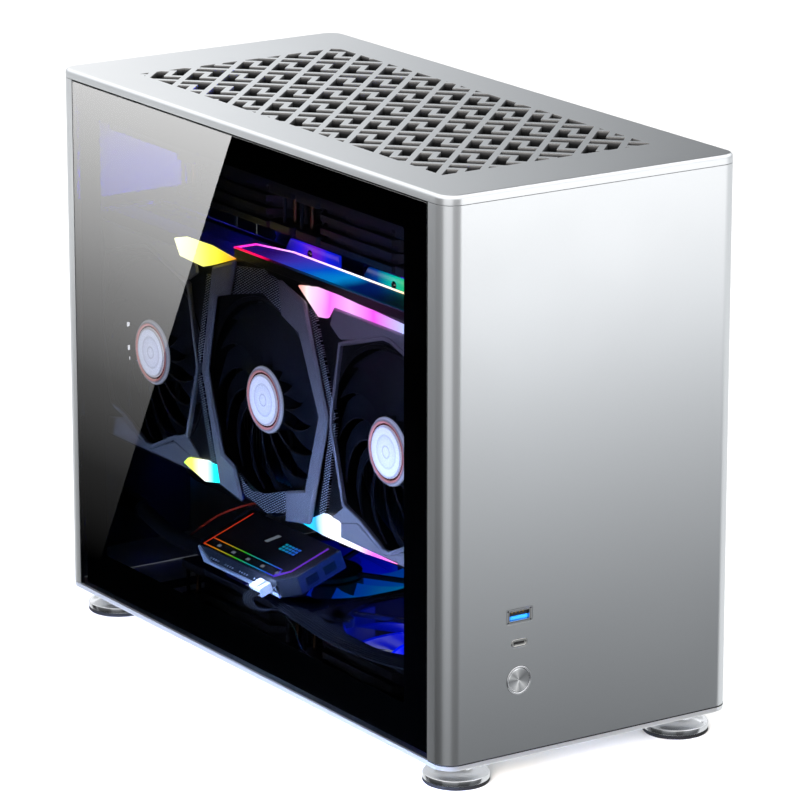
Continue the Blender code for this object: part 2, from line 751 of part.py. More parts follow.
def make_motherboard(board, steel, heatsink, plastic, dark, metal):
    low = (BOARD_X, BOARD_REAR - BOARD_SIDE, BOARD_LOW)
    high = (BOARD_X + BOARD_THICK, BOARD_REAR, BOARD_LOW + BOARD_SIDE)
    main_board = add("motherboard", block(low, high), board)
    face = BOARD_X + 0.0006
    fitted = [
        block((face - 0.0110, 0.0200, 0.1015), (face, 0.0400, 0.1075)),
        block((face - 0.0055, 0.0400, 0.2560), (face, 0.0930, 0.2640)),
        block((face - 0.0180, 0.0660, 0.2360), (face, 0.1180, 0.2490)),
        block((face - 0.0180, 0.1400, 0.1300), (face, 0.1500, 0.2350)),
        block((face - 0.0060, 0.0460, 0.1260), (face, 0.0680, 0.1480)),
    ]
    combine(main_board, "UNION", fitted)
    tray_x = 0.0735
    tray = add(
        "motherboard_tray", block((tray_x, -0.0550, 0.0780), (tray_x + 0.0015, 0.1890, 0.2765)), steel
    )
    bosses = [
        disc((y, z), "X", 0.0035, BOARD_X + BOARD_THICK + SEAM, tray_x + 0.0006, 12)
        for y in (low[1] + 0.007, high[1] - 0.007)
        for z in (low[2] + 0.007, high[2] - 0.007)
    ]
    combine(tray, "UNION", bosses)
    holes = [
        prism(
            moved(rounded_outline(0.0110, 0.0250, 0.006, 2), -0.0300, z),
            "X",
            tray_x - 0.002,
            tray_x + 0.004,
        )
        for z in (0.115, 0.240)
    ]
    combine(tray, "DIFFERENCE", holes)
    for number, y in ((1, 0.0215), (2, 0.0310)):
        module = add(
            f"memory_module_{number}",
            block((0.0330, y, 0.1160), (BOARD_X - SEAM, y + 0.0062, 0.2490)),
            dark,
        )
        cuts = [
            block((0.0300, y - 0.001, z), (0.0350, y + 0.0072, z + 0.0060))
            for z in (0.1300, 0.1790, 0.2280)
        ]
        combine(module, "DIFFERENCE", cuts)
    cooler_y, cooler_z = 0.0900, 0.1850
    comb = [(0.0550, cooler_y - 0.0460), (0.0550, cooler_y + 0.0460)]
    count = 14
    pitch = 0.092 / (count - 0.5)
    for fin in range(count):
        y = cooler_y + 0.0460 - fin * pitch
        comb += [(0.0300, y), (0.0300, y - pitch / 2)]
        if fin < count - 1:
            comb += [(0.0520, y - pitch / 2), (0.0520, y - pitch)]
    sink = add("cooler_heatsink", prism(comb, "Z", cooler_z - 0.0430, cooler_z + 0.0430), heatsink)
    combine(
        sink,
        "UNION",
        [
            block(
                (0.0540, cooler_y - 0.0190, cooler_z - 0.0190),
                (BOARD_X - SEAM, cooler_y + 0.0190, cooler_z + 0.0190),
            ),
        ],
    )
    centre = (0.0140, cooler_y, cooler_z)
    make_fan_frame("cooler_fan_frame", centre, "X", plastic, 0.092, 0.0150, 0.0435, 0.0160)
    make_rotor("cooler_fan_rotor", centre, "X", dark, 0.0165, 0.0420, 0.0010, 0.0110, 7, 18)
    make_rear_ports(metal, steel)


def make_rear_ports(metal, steel):
    """The connector block at the motherboard's rear edge and the plate around it."""
    face = HALF_D - 0.0006
    x_low, x_high = 0.0345, BOARD_X - SEAM
    z_low, z_high = IO_LOW[1] + 0.006, IO_LOW[1] + IO_SIZE[1] - 0.006
    stack = add("rear_port_stack", block((x_low, face - 0.0270, z_low), (x_high, face, z_high)), metal)
    cuts = []
    for z in (0.1240, 0.1400, 0.1900, 0.2060):
        for x in (0.0420, 0.0560):
            cuts.append(
                block((x - 0.0028, face - 0.0120, z - 0.0062), (x + 0.0028, face + 0.002, z + 0.0062))
            )
    cuts.append(block((0.0425, face - 0.0130, 0.1560), (0.0555, face + 0.002, 0.1690)))
    cuts.append(block((0.0465, face - 0.0100, 0.2190), (0.0515, face + 0.002, 0.2330)))
    cuts += [
        disc((x, 0.2460), "Y", 0.0018, face - 0.0100, face + 0.002, 12) for x in (0.0400, 0.0490, 0.0580)
    ]
    combine(stack, "DIFFERENCE", cuts)
    shield_y = HALF_D - REAR_WALL - 0.0014
    shield = add(
        "io_shield",
        block((IO_LOW[0] - 0.0010, shield_y, IO_LOW[1] - 0.0010),
              (IO_LOW[0] + IO_SIZE[0] + 0.0010, shield_y + 0.0010, IO_LOW[1] + IO_SIZE[1] + 0.0010)),
        steel,
    )
    hole = block(
        (x_low - SEAM, shield_y - 0.002, z_low - SEAM), (x_high + SEAM, shield_y + 0.003, z_high + SEAM)
    )
    combine(shield, "DIFFERENCE", [hole])


# Power supply, inlet and cables


def make_power_supply(dark, steel, plastic):
    fan_y = (PSU_LOW[1] + PSU_HIGH[1]) / 2
    fan_z = (PSU_LOW[2] + PSU_HIGH[2]) / 2
    case = smooth(add("psu_case", block(PSU_LOW, PSU_HIGH), dark))
    well = disc((fan_y, fan_z), "X", 0.0460, PSU_HIGH[0] - 0.0150, PSU_HIGH[0] + 0.002, 36)
    rocker_y, rocker_x = -0.1000, 0.0180
    recess = block((rocker_x - 0.0062, rocker_y - 0.0100, PSU_LOW[2] - 0.002),
                   (rocker_x + 0.0062, rocker_y + 0.0100, PSU_LOW[2] + 0.0120))
    combine(case, "DIFFERENCE", [well, recess])
    centre = (PSU_HIGH[0] - 0.0140, fan_y, fan_z)
    make_rotor("psu_fan_rotor", centre, "X", dark, 0.0180, 0.0440, 0.0, 0.0120, 7, 18)
    pivot = (rocker_x, rocker_y, PSU_LOW[2] + 0.0040)
    outline = arc((0.0, 0.0), 0.0045, 35, 145, 6)
    outline += [
        (-0.0085, -0.0025), (-0.0082, -0.0046), (0.0, -0.0034), (0.0082, -0.0046), (0.0085, -0.0025)
    ]
    rest = Matrix.Rotation(math.radians(ROCKER_REST), 2)
    outline = moved([tuple(rest @ Vector(point)) for point in outline], rocker_y, pivot[2])
    smooth(
        add("psu_rocker_switch", prism(outline, "X", rocker_x - 0.0056, rocker_x + 0.0056), plastic, pivot)
    )
    side = block(
        (PSU_LOW[0] - 0.0018, PSU_LOW[1] - 0.0080, 0.1150),
        (PSU_LOW[0] - 0.0006, PSU_HIGH[1] + 0.010, 0.2505),
    )
    bracket = add("psu_bracket", side, steel)
    flange = block(
        (PSU_LOW[0] - 0.0012, PSU_LOW[1] - 0.0080, 0.1150), (0.0650, PSU_LOW[1] - 0.0068, 0.2505)
    )
    combine(bracket, "UNION", [flange])


def make_inlet(plastic):
    x, z = INLET_CENTRE
    face = HALF_D - 0.0006
    body = block((x - 0.0134, face - 0.0240, z - 0.0096), (x + 0.0134, face, z + 0.0096))
    inlet = add("mains_inlet", body, plastic)
    flange_y = HALF_D - REAR_WALL - 0.0023
    combine(
        inlet,
        "UNION",
        [block((x - 0.0190, flange_y, z - 0.0140), (x + 0.0190, flange_y + 0.0020, z + 0.0140))],
    )
    cavity = [(x - 0.0115, z - 0.0078), (x + 0.0115, z - 0.0078), (x + 0.0115, z + 0.0030),
              (x + 0.0070, z + 0.0078), (x - 0.0070, z + 0.0078), (x - 0.0115, z + 0.0030)]
    combine(inlet, "DIFFERENCE", [prism(cavity, "Y", face - 0.0160, face + 0.002)])
    pins = [
        block((px - 0.0010, face - 0.0170, pz - 0.0020), (px + 0.0010, face - 0.0020, pz + 0.0020))
        for px, pz in ((x - 0.0070, z - 0.0035), (x, z + 0.0010), (x + 0.0070, z - 0.0035))
    ]
    combine(inlet, "UNION", pins)


def smooth_route(points, spacing):
    """Points read at even steps from a smooth curve through the given ones."""
    places = [Vector(point) for point in points]
    ends = [2 * places[0] - places[1]] + places + [2 * places[-1] - places[-2]]
    fine = []
    for before, start, end, after in zip(ends, ends[1:], ends[2:], ends[3:]):
        for step in range(24):
            t = step / 24
            fine.append(
                0.5
                * (
                    2 * start
                    + (end - before) * t
                    + (2 * before - 5 * start + 4 * end - after) * t**2
                    + (3 * start - before - 3 * end + after) * t**3
                )
            )
    fine.append(places[-1])
    total = sum((b - a).length for a, b in zip(fine, fine[1:]))
    count = max(2, round(total / spacing))
    route = [fine[0]]
    walked = 0.0
    for a, b in zip(fine, fine[1:]):
        walked += (b - a).length
        if walked >= total * len(route) / count and len(route) < count:
            route.append(b)
    route.append(fine[-1])
    return route


def make_cable(name, points, diameter, finish):
    curve = bpy.data.curves.new(name, "CURVE")
    curve.dimensions = "3D"
    curve.bevel_depth = diameter / 2
    curve.bevel_resolution = 2
    curve.use_fill_caps = True
    curve.materials.append(finish)
    route = smooth_route(points, diameter * 2.5)
    spline = curve.splines.new("POLY")
    spline.points.add(len(route) - 1)
    for point, place in zip(spline.points, route):
        point.co = (*place, 1.0)
    obj = bpy.data.objects.new(name, curve)
    bpy.context.scene.collection.objects.link(obj)


MAINS_ROUTE = [
    (0.0580, 0.1669, 0.0600), (0.0585, 0.1500, 0.0590), (0.0640, 0.1000, 0.0530), (0.0660, 0.0300, 0.0500),
    (0.0660, -0.0400, 0.0500), (0.0610, -0.0950, 0.0600), (0.0500, -0.1250, 0.0830),
    (0.0450, -0.1300, 0.1050),
    (0.0450, -0.1300, 0.1236),
]
FRONT_IO_ROUTE = [
    (PORT_X, -0.1657, 0.0859), (PORT_X, -0.1550, 0.0850), (-0.0400, -0.1300, 0.0700),
    (-0.0100, -0.0900, 0.0560),
    (0.0300, -0.0400, 0.0540), (0.0550, -0.0050, 0.0590), (0.0605, 0.0230, 0.0720),
    (0.0610, 0.0300, 0.0900),
    (0.0610, 0.0300, 0.1007),
]
LOOM_ROUTE = [
    (-0.0560, 0.1889, 0.0590), (-0.0570, 0.1700, 0.0590), (-0.0610, 0.1450, 0.0565),
    (-0.0640, 0.1200, 0.0550),
    (-0.0640, 0.0895, 0.0560),
]


def make_controller(dark):
    """A fan and light controller that lies on the rear lower fan, its far side raised."""
    length, depth, thick = 0.0920, 0.0400, 0.0115
    outline = [
        (-depth / 2, -length / 2 + 0.009), (-depth / 2 + 0.009, -length / 2), (depth / 2, -length / 2),
        (depth / 2, length / 2), (-depth / 2 + 0.003, length / 2), (-depth / 2, length / 2 - 0.003),
    ]
    shape = prism(outline, "Z", -thick / 2, thick / 2)
    turn_shape(shape, -20, "Y", (0, 0, 0))
    bmesh.ops.translate(shape, verts=shape.verts, vec=(-0.0500, 0.0410, 0.0620))
    add("controller_box", shape, dark)


def main():
    for obj in list(bpy.data.objects):
        bpy.data.objects.remove(obj)
    silver = material("satin_silver_aluminium", (0.62, 0.63, 0.64), 0.32, 1.0)
    polished = material("polished_aluminium", (0.78, 0.78, 0.79), 0.12, 1.0)
    steel = material("black_painted_steel", (0.03, 0.03, 0.032), 0.5, 0.0)
    glass = material("tinted_glass", (0.02, 0.02, 0.025), 0.05, 0.0)
    rubber = material("black_rubber", (0.02, 0.02, 0.02), 0.8, 0.0)
    plastic = material("black_plastic", (0.025, 0.025, 0.028), 0.45, 0.0)
    dark = material("dark_grey_plastic", (0.05, 0.05, 0.055), 0.4, 0.0)
    board = material("black_circuit_board", (0.02, 0.025, 0.022), 0.35, 0.0)
    heatsink = material("bare_aluminium_fins", (0.55, 0.56, 0.58), 0.4, 1.0)
    gunmetal = material("gunmetal_shroud", (0.09, 0.085, 0.085), 0.38, 0.3)
    lit = material("lit_light_guide", (0.20, 0.16, 0.60), 0.3, 0.0)
    tinned = material("tinned_steel", (0.70, 0.70, 0.70), 0.25, 1.0)
    sleeve = material("black_cable_sleeve", (0.02, 0.02, 0.022), 0.6, 0.0)
    make_base_plate(silver)
    make_front_panel(silver)
    make_rear_panel(silver)
    make_top_cover(silver)
    make_roof_rails(steel)
    make_side_panels(glass, silver, steel)
    make_feet(polished, rubber)
    make_power_button(polished, plastic)
    make_ports(tinned, board)
    make_case_fans(plastic, dark)
    make_card(gunmetal, dark, board, heatsink, steel, lit)
    make_riser(sleeve)
    make_motherboard(board, steel, heatsink, plastic, dark, tinned)
    make_power_supply(dark, steel, plastic)
    make_inlet(plastic)
    make_controller(dark)
    make_cable("mains_lead", MAINS_ROUTE, 0.0070, sleeve)
    make_cable("front_io_cable", FRONT_IO_ROUTE, 0.0050, sleeve)
    make_cable("controller_loom", LOOM_ROUTE, 0.0090, sleeve)


main()
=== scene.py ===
"""Looks of a compact desktop computer tower: an aluminium case with one glass side and lit parts inside.

Metres, +Z up. The front faces -Y, the glass side -X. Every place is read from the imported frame.
"""

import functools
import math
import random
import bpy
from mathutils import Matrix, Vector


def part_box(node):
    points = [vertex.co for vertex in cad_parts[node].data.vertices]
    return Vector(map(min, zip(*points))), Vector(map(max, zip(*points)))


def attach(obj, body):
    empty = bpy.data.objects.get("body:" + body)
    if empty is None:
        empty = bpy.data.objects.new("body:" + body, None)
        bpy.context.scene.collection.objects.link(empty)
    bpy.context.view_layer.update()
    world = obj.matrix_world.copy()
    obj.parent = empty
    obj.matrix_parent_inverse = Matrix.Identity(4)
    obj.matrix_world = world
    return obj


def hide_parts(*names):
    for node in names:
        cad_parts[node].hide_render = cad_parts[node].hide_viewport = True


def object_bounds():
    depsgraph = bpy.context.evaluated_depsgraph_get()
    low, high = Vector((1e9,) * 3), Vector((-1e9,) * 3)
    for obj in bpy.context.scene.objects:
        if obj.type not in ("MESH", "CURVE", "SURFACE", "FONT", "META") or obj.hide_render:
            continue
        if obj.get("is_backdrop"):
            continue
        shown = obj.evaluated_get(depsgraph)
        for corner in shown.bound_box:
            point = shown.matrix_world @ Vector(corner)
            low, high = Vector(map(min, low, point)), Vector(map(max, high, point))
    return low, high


bl_info = {
    "name": "Desktop tower looks", "version": (1, 0, 0), "blender": (4, 5, 0),
    "location": "3D View > Sidebar > Tower",
    "description": "Finished pieces and materials for a compact desktop computer tower",
    "category": "Object",
}

import bmesh
import bpy
from mathutils import Matrix, Vector

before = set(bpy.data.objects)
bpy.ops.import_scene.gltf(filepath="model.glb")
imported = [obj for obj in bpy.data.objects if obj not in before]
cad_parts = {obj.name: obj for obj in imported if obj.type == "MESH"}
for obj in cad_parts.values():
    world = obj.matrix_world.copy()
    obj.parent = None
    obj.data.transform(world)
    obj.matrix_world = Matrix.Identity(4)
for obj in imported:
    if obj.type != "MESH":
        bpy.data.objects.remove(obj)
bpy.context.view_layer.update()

MM = 0.001
UP = Vector((0.0, 0.0, 1.0))


def linear(text):
    """A linear RGBA colour from an sRGB hex one."""
    parts = [int(text[place : place + 2], 16) / 255 for place in (1, 3, 5)]
    return tuple(c / 12.92 if c <= 0.04045 else ((c + 0.055) / 1.055) ** 2.4 for c in parts) + (1.0,)


# Settings that a user would change


class TowerFinishes(bpy.types.PropertyGroup):
    """Colours and gloss of the finishes."""

    case_colour: bpy.props.FloatVectorProperty(
        name="Case colour", description="Anodised colour of the aluminium shells", subtype="COLOR",
        size=3, min=0.0, max=1.0, default=linear("#dcdee0")[:3],
    )
    case_roughness: bpy.props.FloatProperty(
        name="Case roughness", description="How softly the blasted aluminium shines", subtype="FACTOR",
        min=0.05, max=1.0, default=0.3,
    )
    shroud_colour: bpy.props.FloatVectorProperty(
        name="Shroud colour", description="Painted colour of the graphics card's angular frames",
        subtype="COLOR", size=3, min=0.0, max=1.0, default=linear("#8f8b8e")[:3],
    )
    plastic_colour: bpy.props.FloatVectorProperty(
        name="Plastic colour", description="Moulded colour of the fan frames and other black plastic",
        subtype="COLOR", size=3, min=0.0, max=1.0, default=linear("#232125")[:3],
    )
    glass_tint: bpy.props.FloatVectorProperty(
        name="Glass tint", description="What one face of the side glass lets through", subtype="COLOR",
        size=3, min=0.0, max=1.0, default=linear("#dcdee2")[:3],
    )
    # Glow also scales the painted glow of the card fans' caps and of the controller's print.
    glow: bpy.props.FloatProperty(
        name="Glow", description="Strength of every lit piece", min=0.0, max=20.0, default=1.0,
    )


class TowerSizes(bpy.types.PropertyGroup):
    """Sizes of details that the frame leaves open."""

    edge: bpy.props.FloatProperty(
        name="Edge radius", description="Radius of the broken edges on the metal shells",
        subtype="DISTANCE", min=0.0001, max=0.002, default=0.0004,
    )
    card_blades: bpy.props.IntProperty(
        name="Card fan blades", description="Blades on each fan of the graphics card", min=5, max=17,
        default=14,
    )
    case_blades: bpy.props.IntProperty(
        name="Case fan blades", description="Blades on each case fan", min=5, max=13, default=9,
    )


class TowerStage(bpy.types.PropertyGroup):
    """The camera and the studio."""

    azimuth: bpy.props.FloatProperty(
        name="Azimuth", description="Camera direction round the tower; 0 looks along +Y", subtype="ANGLE",
        default=math.radians(-33.59),
    )
    elevation: bpy.props.FloatProperty(
        name="Elevation", description="Camera angle above the horizon", subtype="ANGLE",
        default=math.radians(15.63),
    )
    distance: bpy.props.FloatProperty(
        name="Distance", description="Camera distance from the point that it looks at",
        subtype="DISTANCE", min=0.5, default=2.614,
    )
    aim: bpy.props.FloatVectorProperty(
        name="Aim", description="Point that the camera looks at", subtype="XYZ", size=3,
        default=(-0.0035, -0.0183, 0.1576),
    )
    lens: bpy.props.FloatProperty(
        name="Lens", description="Focal length on a 36 mm sensor, in millimetres", min=20.0, default=217.5,
    )
    backdrop: bpy.props.FloatProperty(
        name="Backdrop", description="Brightness of the studio around the tower", min=0.0, default=1.0,
    )


# Shapes: each function returns a bmesh in world coordinates


def closed(shape):
    bmesh.ops.recalc_face_normals(shape, faces=shape.faces)
    return shape


def on_plane(axis, across, up, run):
    """A point given by two coordinates across an axis and one along it."""
    return {
        "X": Vector((run, across, up)), "Y": Vector((across, run, up)), "Z": Vector((across, up, run)),
    }[axis]


def block(low, high):
    shape = bmesh.new()
    bmesh.ops.create_cube(shape, size=1.0)
    low, high = Vector(low), Vector(high)
    bmesh.ops.scale(shape, verts=shape.verts, vec=high - low)
    bmesh.ops.translate(shape, verts=shape.verts, vec=(high + low) / 2)
    return shape


def rod(start, end, radius, sides=24, tip=None):
    """A cylinder between two points, or a cone where its tip has another radius."""
    start, end = Vector(start), Vector(end)
    run = end - start
    shape = bmesh.new()
    bmesh.ops.create_cone(
        shape, cap_ends=True, segments=sides, radius1=radius, radius2=radius if tip is None else tip,
        depth=run.length,
    )
    turn = UP.rotation_difference(run).to_matrix()
    bmesh.ops.rotate(shape, verts=shape.verts, cent=(0, 0, 0), matrix=turn)
    bmesh.ops.translate(shape, verts=shape.verts, vec=(start + end) / 2)
    return shape


def plate(outline, axis, start, end, holes=()):
    """A flat plate across an axis, with any holes; outlines are points across the axis."""
    shape = bmesh.new()
    for loop in (outline, *holes):
        verts = [shape.verts.new(on_plane(axis, across, up, start)) for across, up in loop]
        for pair in zip(verts, verts[1:] + verts[:1]):
            shape.edges.new(pair)
    if holes:
        bmesh.ops.triangle_fill(shape, edges=shape.edges, use_beauty=True)
    else:
        shape.faces.new(verts)
    extruded = bmesh.ops.extrude_face_region(shape, geom=shape.faces[:])["geom"]
    far = [item for item in extruded if isinstance(item, bmesh.types.BMVert)]
    bmesh.ops.translate(shape, verts=far, vec=on_plane(axis, 0.0, 0.0, end - start))
    return closed(shape)


def turned(profile, centre=(0, 0, 0), axis="Z", steps=64, ring=False):
    """A profile of (radius, height) turned about an axis. A ring's profile is a closed loop off the axis."""
    shape = bmesh.new()
    verts = [shape.verts.new((radius, 0.0, height)) for radius, height in profile]
    pairs = list(zip(verts, verts[1:]))
    if ring:
        pairs.append((verts[-1], verts[0]))
    edges = [shape.edges.new(pair) for pair in pairs]
    bmesh.ops.spin(
        shape, geom=verts + edges, cent=(0, 0, 0), axis=(0, 0, 1), angle=math.tau, steps=steps,
        use_merge=True,
    )
    bmesh.ops.remove_doubles(shape, verts=shape.verts, dist=1e-7)
    return facing(closed(shape), axis, centre)


FACINGS = {
    "Z": Matrix.Identity(3), "-X": Matrix.Rotation(math.radians(-90), 3, "Y"),
    "X": Matrix.Rotation(math.radians(90), 3, "Y"), "-Y": Matrix.Rotation(math.radians(90), 3, "X"),
    "Y": Matrix.Rotation(math.radians(-90), 3, "X"),
}


def facing(shape, axis, centre):
    """Turns a shape that was built about +Z to face along the axis, then moves it to its centre."""
    bmesh.ops.rotate(shape, verts=shape.verts, cent=(0, 0, 0), matrix=FACINGS[axis])
    bmesh.ops.translate(shape, verts=shape.verts, vec=centre)
    return shape


def arc(centre, radius, start, end, steps):
    """Points on an arc, angles in degrees."""
    turns = [math.radians(start + (end - start) * step / steps) for step in range(steps + 1)]
    return [(centre[0] + radius * math.cos(t), centre[1] + radius * math.sin(t)) for t in turns]


def ring_of(centre, radius, steps):
    return arc(centre, radius, 0, 360, steps)[:-1]


def rounded(low, high, radius, steps=4):
    """A rectangle between two corners, with its own corners as arcs."""
    outline = []
    corners = (
        (high[0] - radius, high[1] - radius, 0), (low[0] + radius, high[1] - radius, 90),
        (low[0] + radius, low[1] + radius, 180), (high[0] - radius, low[1] + radius, 270),
    )
    for across, up, start in corners:
        outline += arc((across, up), radius, start, start + 90, steps)
    return outline


def soften(shape, width, steps=2, angle=35):
    """Rounds every edge whose faces meet more sharply than the angle."""
    sharp = [
        edge
        for edge in shape.edges
        if len(edge.link_faces) == 2 and edge.calc_face_angle(0.0) > math.radians(angle)
    ]
    bmesh.ops.bevel(
        shape, geom=sharp, offset=width, offset_type="OFFSET", segments=steps, profile=0.5,
        affect="EDGES", clamp_overlap=True, material=-1,
    )
    return shape


def painted(shape, index):
    for face in shape.faces:
        face.material_index = index
    return shape


def joined(shapes):
    """Several shapes in one bmesh, with each face's material kept."""
    whole = bmesh.new()
    for shape in shapes:
        mesh = bpy.data.meshes.new("joined")
        shape.to_mesh(mesh)
        shape.free()
        whole.from_mesh(mesh)
        bpy.data.meshes.remove(mesh)
    return whole


def placed(shape, turn, centre):
    bmesh.ops.rotate(shape, verts=shape.verts, cent=(0, 0, 0), matrix=turn)
    bmesh.ops.translate(shape, verts=shape.verts, vec=centre)
    return shape


def copied(name):
    """A merged copy of a frame node's mesh, its flat areas made whole again."""
    shape = bmesh.new()
    shape.from_mesh(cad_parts[name].data)
    bmesh.ops.remove_doubles(shape, verts=shape.verts, dist=1e-6)
    bmesh.ops.dissolve_limit(shape, angle_limit=math.radians(0.5), verts=shape.verts, edges=shape.edges)
    return shape


def smooth_route(points, spacing):
    """Points read at even steps from a smooth curve through the given ones."""
    places = [Vector(point) for point in points]
    ends = [2 * places[0] - places[1]] + places + [2 * places[-1] - places[-2]]
    fine = []
    for before, start, end, after in zip(ends, ends[1:], ends[2:], ends[3:]):
        for step in range(24):
            t = step / 24
            bend = (2 * before - 5 * start + 4 * end - after) * t**2
            bend += (3 * start - before - 3 * end + after) * t**3
            fine.append(0.5 * (2 * start + (end - before) * t + bend))
    fine.append(places[-1])
    total = sum((b - a).length for a, b in zip(fine, fine[1:]))
    count = max(2, round(total / spacing))
    route = [fine[0]]
    walked = 0.0
    for a, b in zip(fine, fine[1:]):
        walked += (b - a).length
        if walked >= total * len(route) / count and len(route) < count:
            route.append(b)
    route.append(fine[-1])
    return route


def tube(points, diameter, sides=3, spacing=1.2):
    """A round cable along a smooth route; sides is the curve's bevel resolution."""
    curve = bpy.data.curves.new("route", "CURVE")
    curve.dimensions = "3D"
    curve.bevel_depth = diameter / 2
    curve.bevel_resolution = sides
    curve.use_fill_caps = True
    route = smooth_route(points, diameter * spacing)
    spline = curve.splines.new("POLY")
    spline.points.add(len(route) - 1)
    for point, place in zip(spline.points, route):
        point.co = (*place, 1.0)
    holder = bpy.data.objects.new("route", curve)
    bpy.context.scene.collection.objects.link(holder)
    bpy.context.view_layer.update()
    graph = bpy.context.evaluated_depsgraph_get()
    mesh = bpy.data.meshes.new_from_object(holder.evaluated_get(graph))
    shape = bmesh.new()
    shape.from_mesh(mesh)
    bmesh.ops.remove_doubles(shape, verts=shape.verts, dist=1e-6)
    bpy.data.meshes.remove(mesh)
    bpy.data.objects.remove(holder)
    bpy.data.curves.remove(curve)
    return closed(shape)


def piece(name, shape, body, finishes, replaces=(), angle=35):
    """Makes the named piece from a bmesh, on its body, with its materials and what it stands for."""
    mesh = bpy.data.meshes.new(name)
    shape.to_mesh(mesh)
    shape.free()
    if "custom_normal" in mesh.attributes:
        mesh.attributes.remove(mesh.attributes["custom_normal"])
    for made in finishes:
        mesh.materials.append(made)
    mesh.shade_smooth()
    mesh.set_sharp_from_angle(angle=math.radians(angle))
    obj = bpy.data.objects.new(name, mesh)
    bpy.context.scene.collection.objects.link(obj)
    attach(obj, body)
    if replaces:
        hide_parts(*replaces)
    even = obj.modifiers.new("even_shading", "WEIGHTED_NORMAL")
    even.weight = 90
    even.keep_sharp = True
    return obj


def middle(name):
    low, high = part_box(name)
    return (low + high) / 2


# Materials


def node(tree, kind, settings=(), links=(), stops=()):
    """Adds one node, sets its properties and sockets, links its inputs and fills its colour ramp."""
    made = tree.nodes.new("ShaderNode" + kind)
    for key, value in dict(settings).items():
        if isinstance(key, str) and hasattr(made, key):
            setattr(made, key, value)
        else:
            made.inputs[key].default_value = value
    for key, source in dict(links).items():
        tree.links.new(source, made.inputs[key])
    for number, (place, colour) in enumerate(stops):
        elements = made.color_ramp.elements
        if number >= len(elements):
            elements.new(place)
        elements[number].position = place
        elements[number].color = linear(colour)
    return made


def finish(make):
    """Keeps the material that a function makes, so that all its pieces share one."""
    kept = {}

    @functools.wraps(make)
    def once(*arguments):
        if arguments not in kept:
            kept[arguments] = make(*arguments)
        return kept[arguments]

    return once


def principled(name, **sockets):
    """A new material with one Principled shader, its sockets set by their names with _ for a space."""
    made = bpy.data.materials.new(name)
    made.use_nodes = True
    tree = made.node_tree
    shader = tree.nodes["Principled BSDF"]
    for key, value in sockets.items():
        shader.inputs[key.replace("_", " ")].default_value = value
    return made, tree, shader


def surface(name, light, dark, rough, grain, depth, stretch=(1, 1, 1), **sockets):
    """A material varied by one noise: light and dark are its two colours, rough its range of roughness,
    grain the size and depth the height of its texture, both in millimetres."""
    made, tree, shader = principled(name, **sockets)
    place = node(tree, "TexCoord").outputs["Object"]
    drawn = node(tree, "Mapping", {"Scale": stretch}, {"Vector": place}).outputs[0]
    noise = node(tree, "TexNoise", {"Scale": 1 / (grain * MM), "Detail": 3.0}, {"Vector": drawn}).outputs[0]
    wide = node(tree, "TexNoise", {"Scale": 14.0, "Detail": 2.0}, {"Vector": place}).outputs[0]
    both = node(tree, "Math", {"operation": "ADD"}, {0: noise, 1: wide}).outputs[0]
    tone = node(
        tree, "MapRange", {"data_type": "FLOAT", "From Min": 0.6, "From Max": 1.4}, {"Value": both},
    ).outputs[0]
    colour = node(tree, "Mix", {"data_type": "RGBA", 6: light, 7: dark}, {0: tone}).outputs[2]
    tree.links.new(colour, shader.inputs["Base Color"])
    gloss = node(tree, "MapRange", {"From Min": 0.6, "From Max": 1.4, "To Min": rough[0], "To Max": rough[1]},
                 {"Value": both}).outputs[0]
    tree.links.new(gloss, shader.inputs["Roughness"])
    bump = node(tree, "Bump", {"Strength": 1.0, "Distance": depth * MM}, {"Height": noise}).outputs[0]
    tree.links.new(bump, shader.inputs["Normal"])
    return made, tree, shader


def shade(colour, share):
    """A colour made darker or lighter by a share."""
    return tuple(min(1.0, part * share) for part in colour[:3]) + (1.0,)


@finish
def blasted_aluminium():
    """Aluminium blasted with fine glass beads, then anodised clear: an even silver sheen with soft reflections.
    The real grit is 0.1 mm; it is drawn at 0.35 mm, as coarse as it needs to show."""
    look = bpy.context.scene.tower_finishes
    rough = look.case_roughness
    return surface(
        "blasted_aluminium", shade(look.case_colour, 1.02), shade(look.case_colour, 0.98),
        (rough - 0.02, rough + 0.03), 0.35, 0.004, Metallic=1.0,
    )[0]


@finish
def base_aluminium_painted_light():
    """The base sheet's blasted aluminium, drawn paler and duller than the shells so that its edge stays light:
    the paler colour is painted light.
    """
    return surface(
        "base_aluminium_painted_light", linear("#f0f1f2"), linear("#e2e3e4"), (0.35, 0.45), 0.35, 0.006, Metallic=0.92
    )[0]


@finish
def cut_aluminium_painted_shade():
    """Walls of the lattice, milled and left raw: grey at the top edge, darkening with depth into the case; the
    darkening is painted shade, set by height.
    """
    made, tree, shader = surface(
        "cut_aluminium_painted_shade", linear("#c9cbcd"), linear("#aeb0b2"), (0.45, 0.6), 0.6, 0.01, (1, 1, 4), Metallic=0.2
    )
    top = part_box("top_cover")[1].z
    rise = node(tree, "SeparateXYZ", (), {0: node(tree, "TexCoord").outputs["Object"]}).outputs[2]
    depth = node(tree, "MapRange", {"From Min": top - 4.0 * MM, "From Max": top}, {"Value": rise}).outputs[0]
    # Painted shade: the walls' colour darkens with depth below the top of the cover.
    stops = [(0.0, "#040405"), (0.35, "#131415"), (0.7, "#38393b"), (1.0, "#707274")]
    painted_depth_shade = node(tree, "ValToRGB", (), {0: depth}, stops).outputs[0]
    tree.links.new(painted_depth_shade, shader.inputs["Base Color"])
    return made


@finish
def polished_aluminium():
    """Turned and polished aluminium: sharp reflections, broken by faint lathe rings."""
    return surface(
        "polished_aluminium", linear("#e9eaec"), linear("#d9dadd"), (0.15, 0.2), 0.5, 0.001, (1, 1, 6),
        Metallic=1.0,
    )[0]


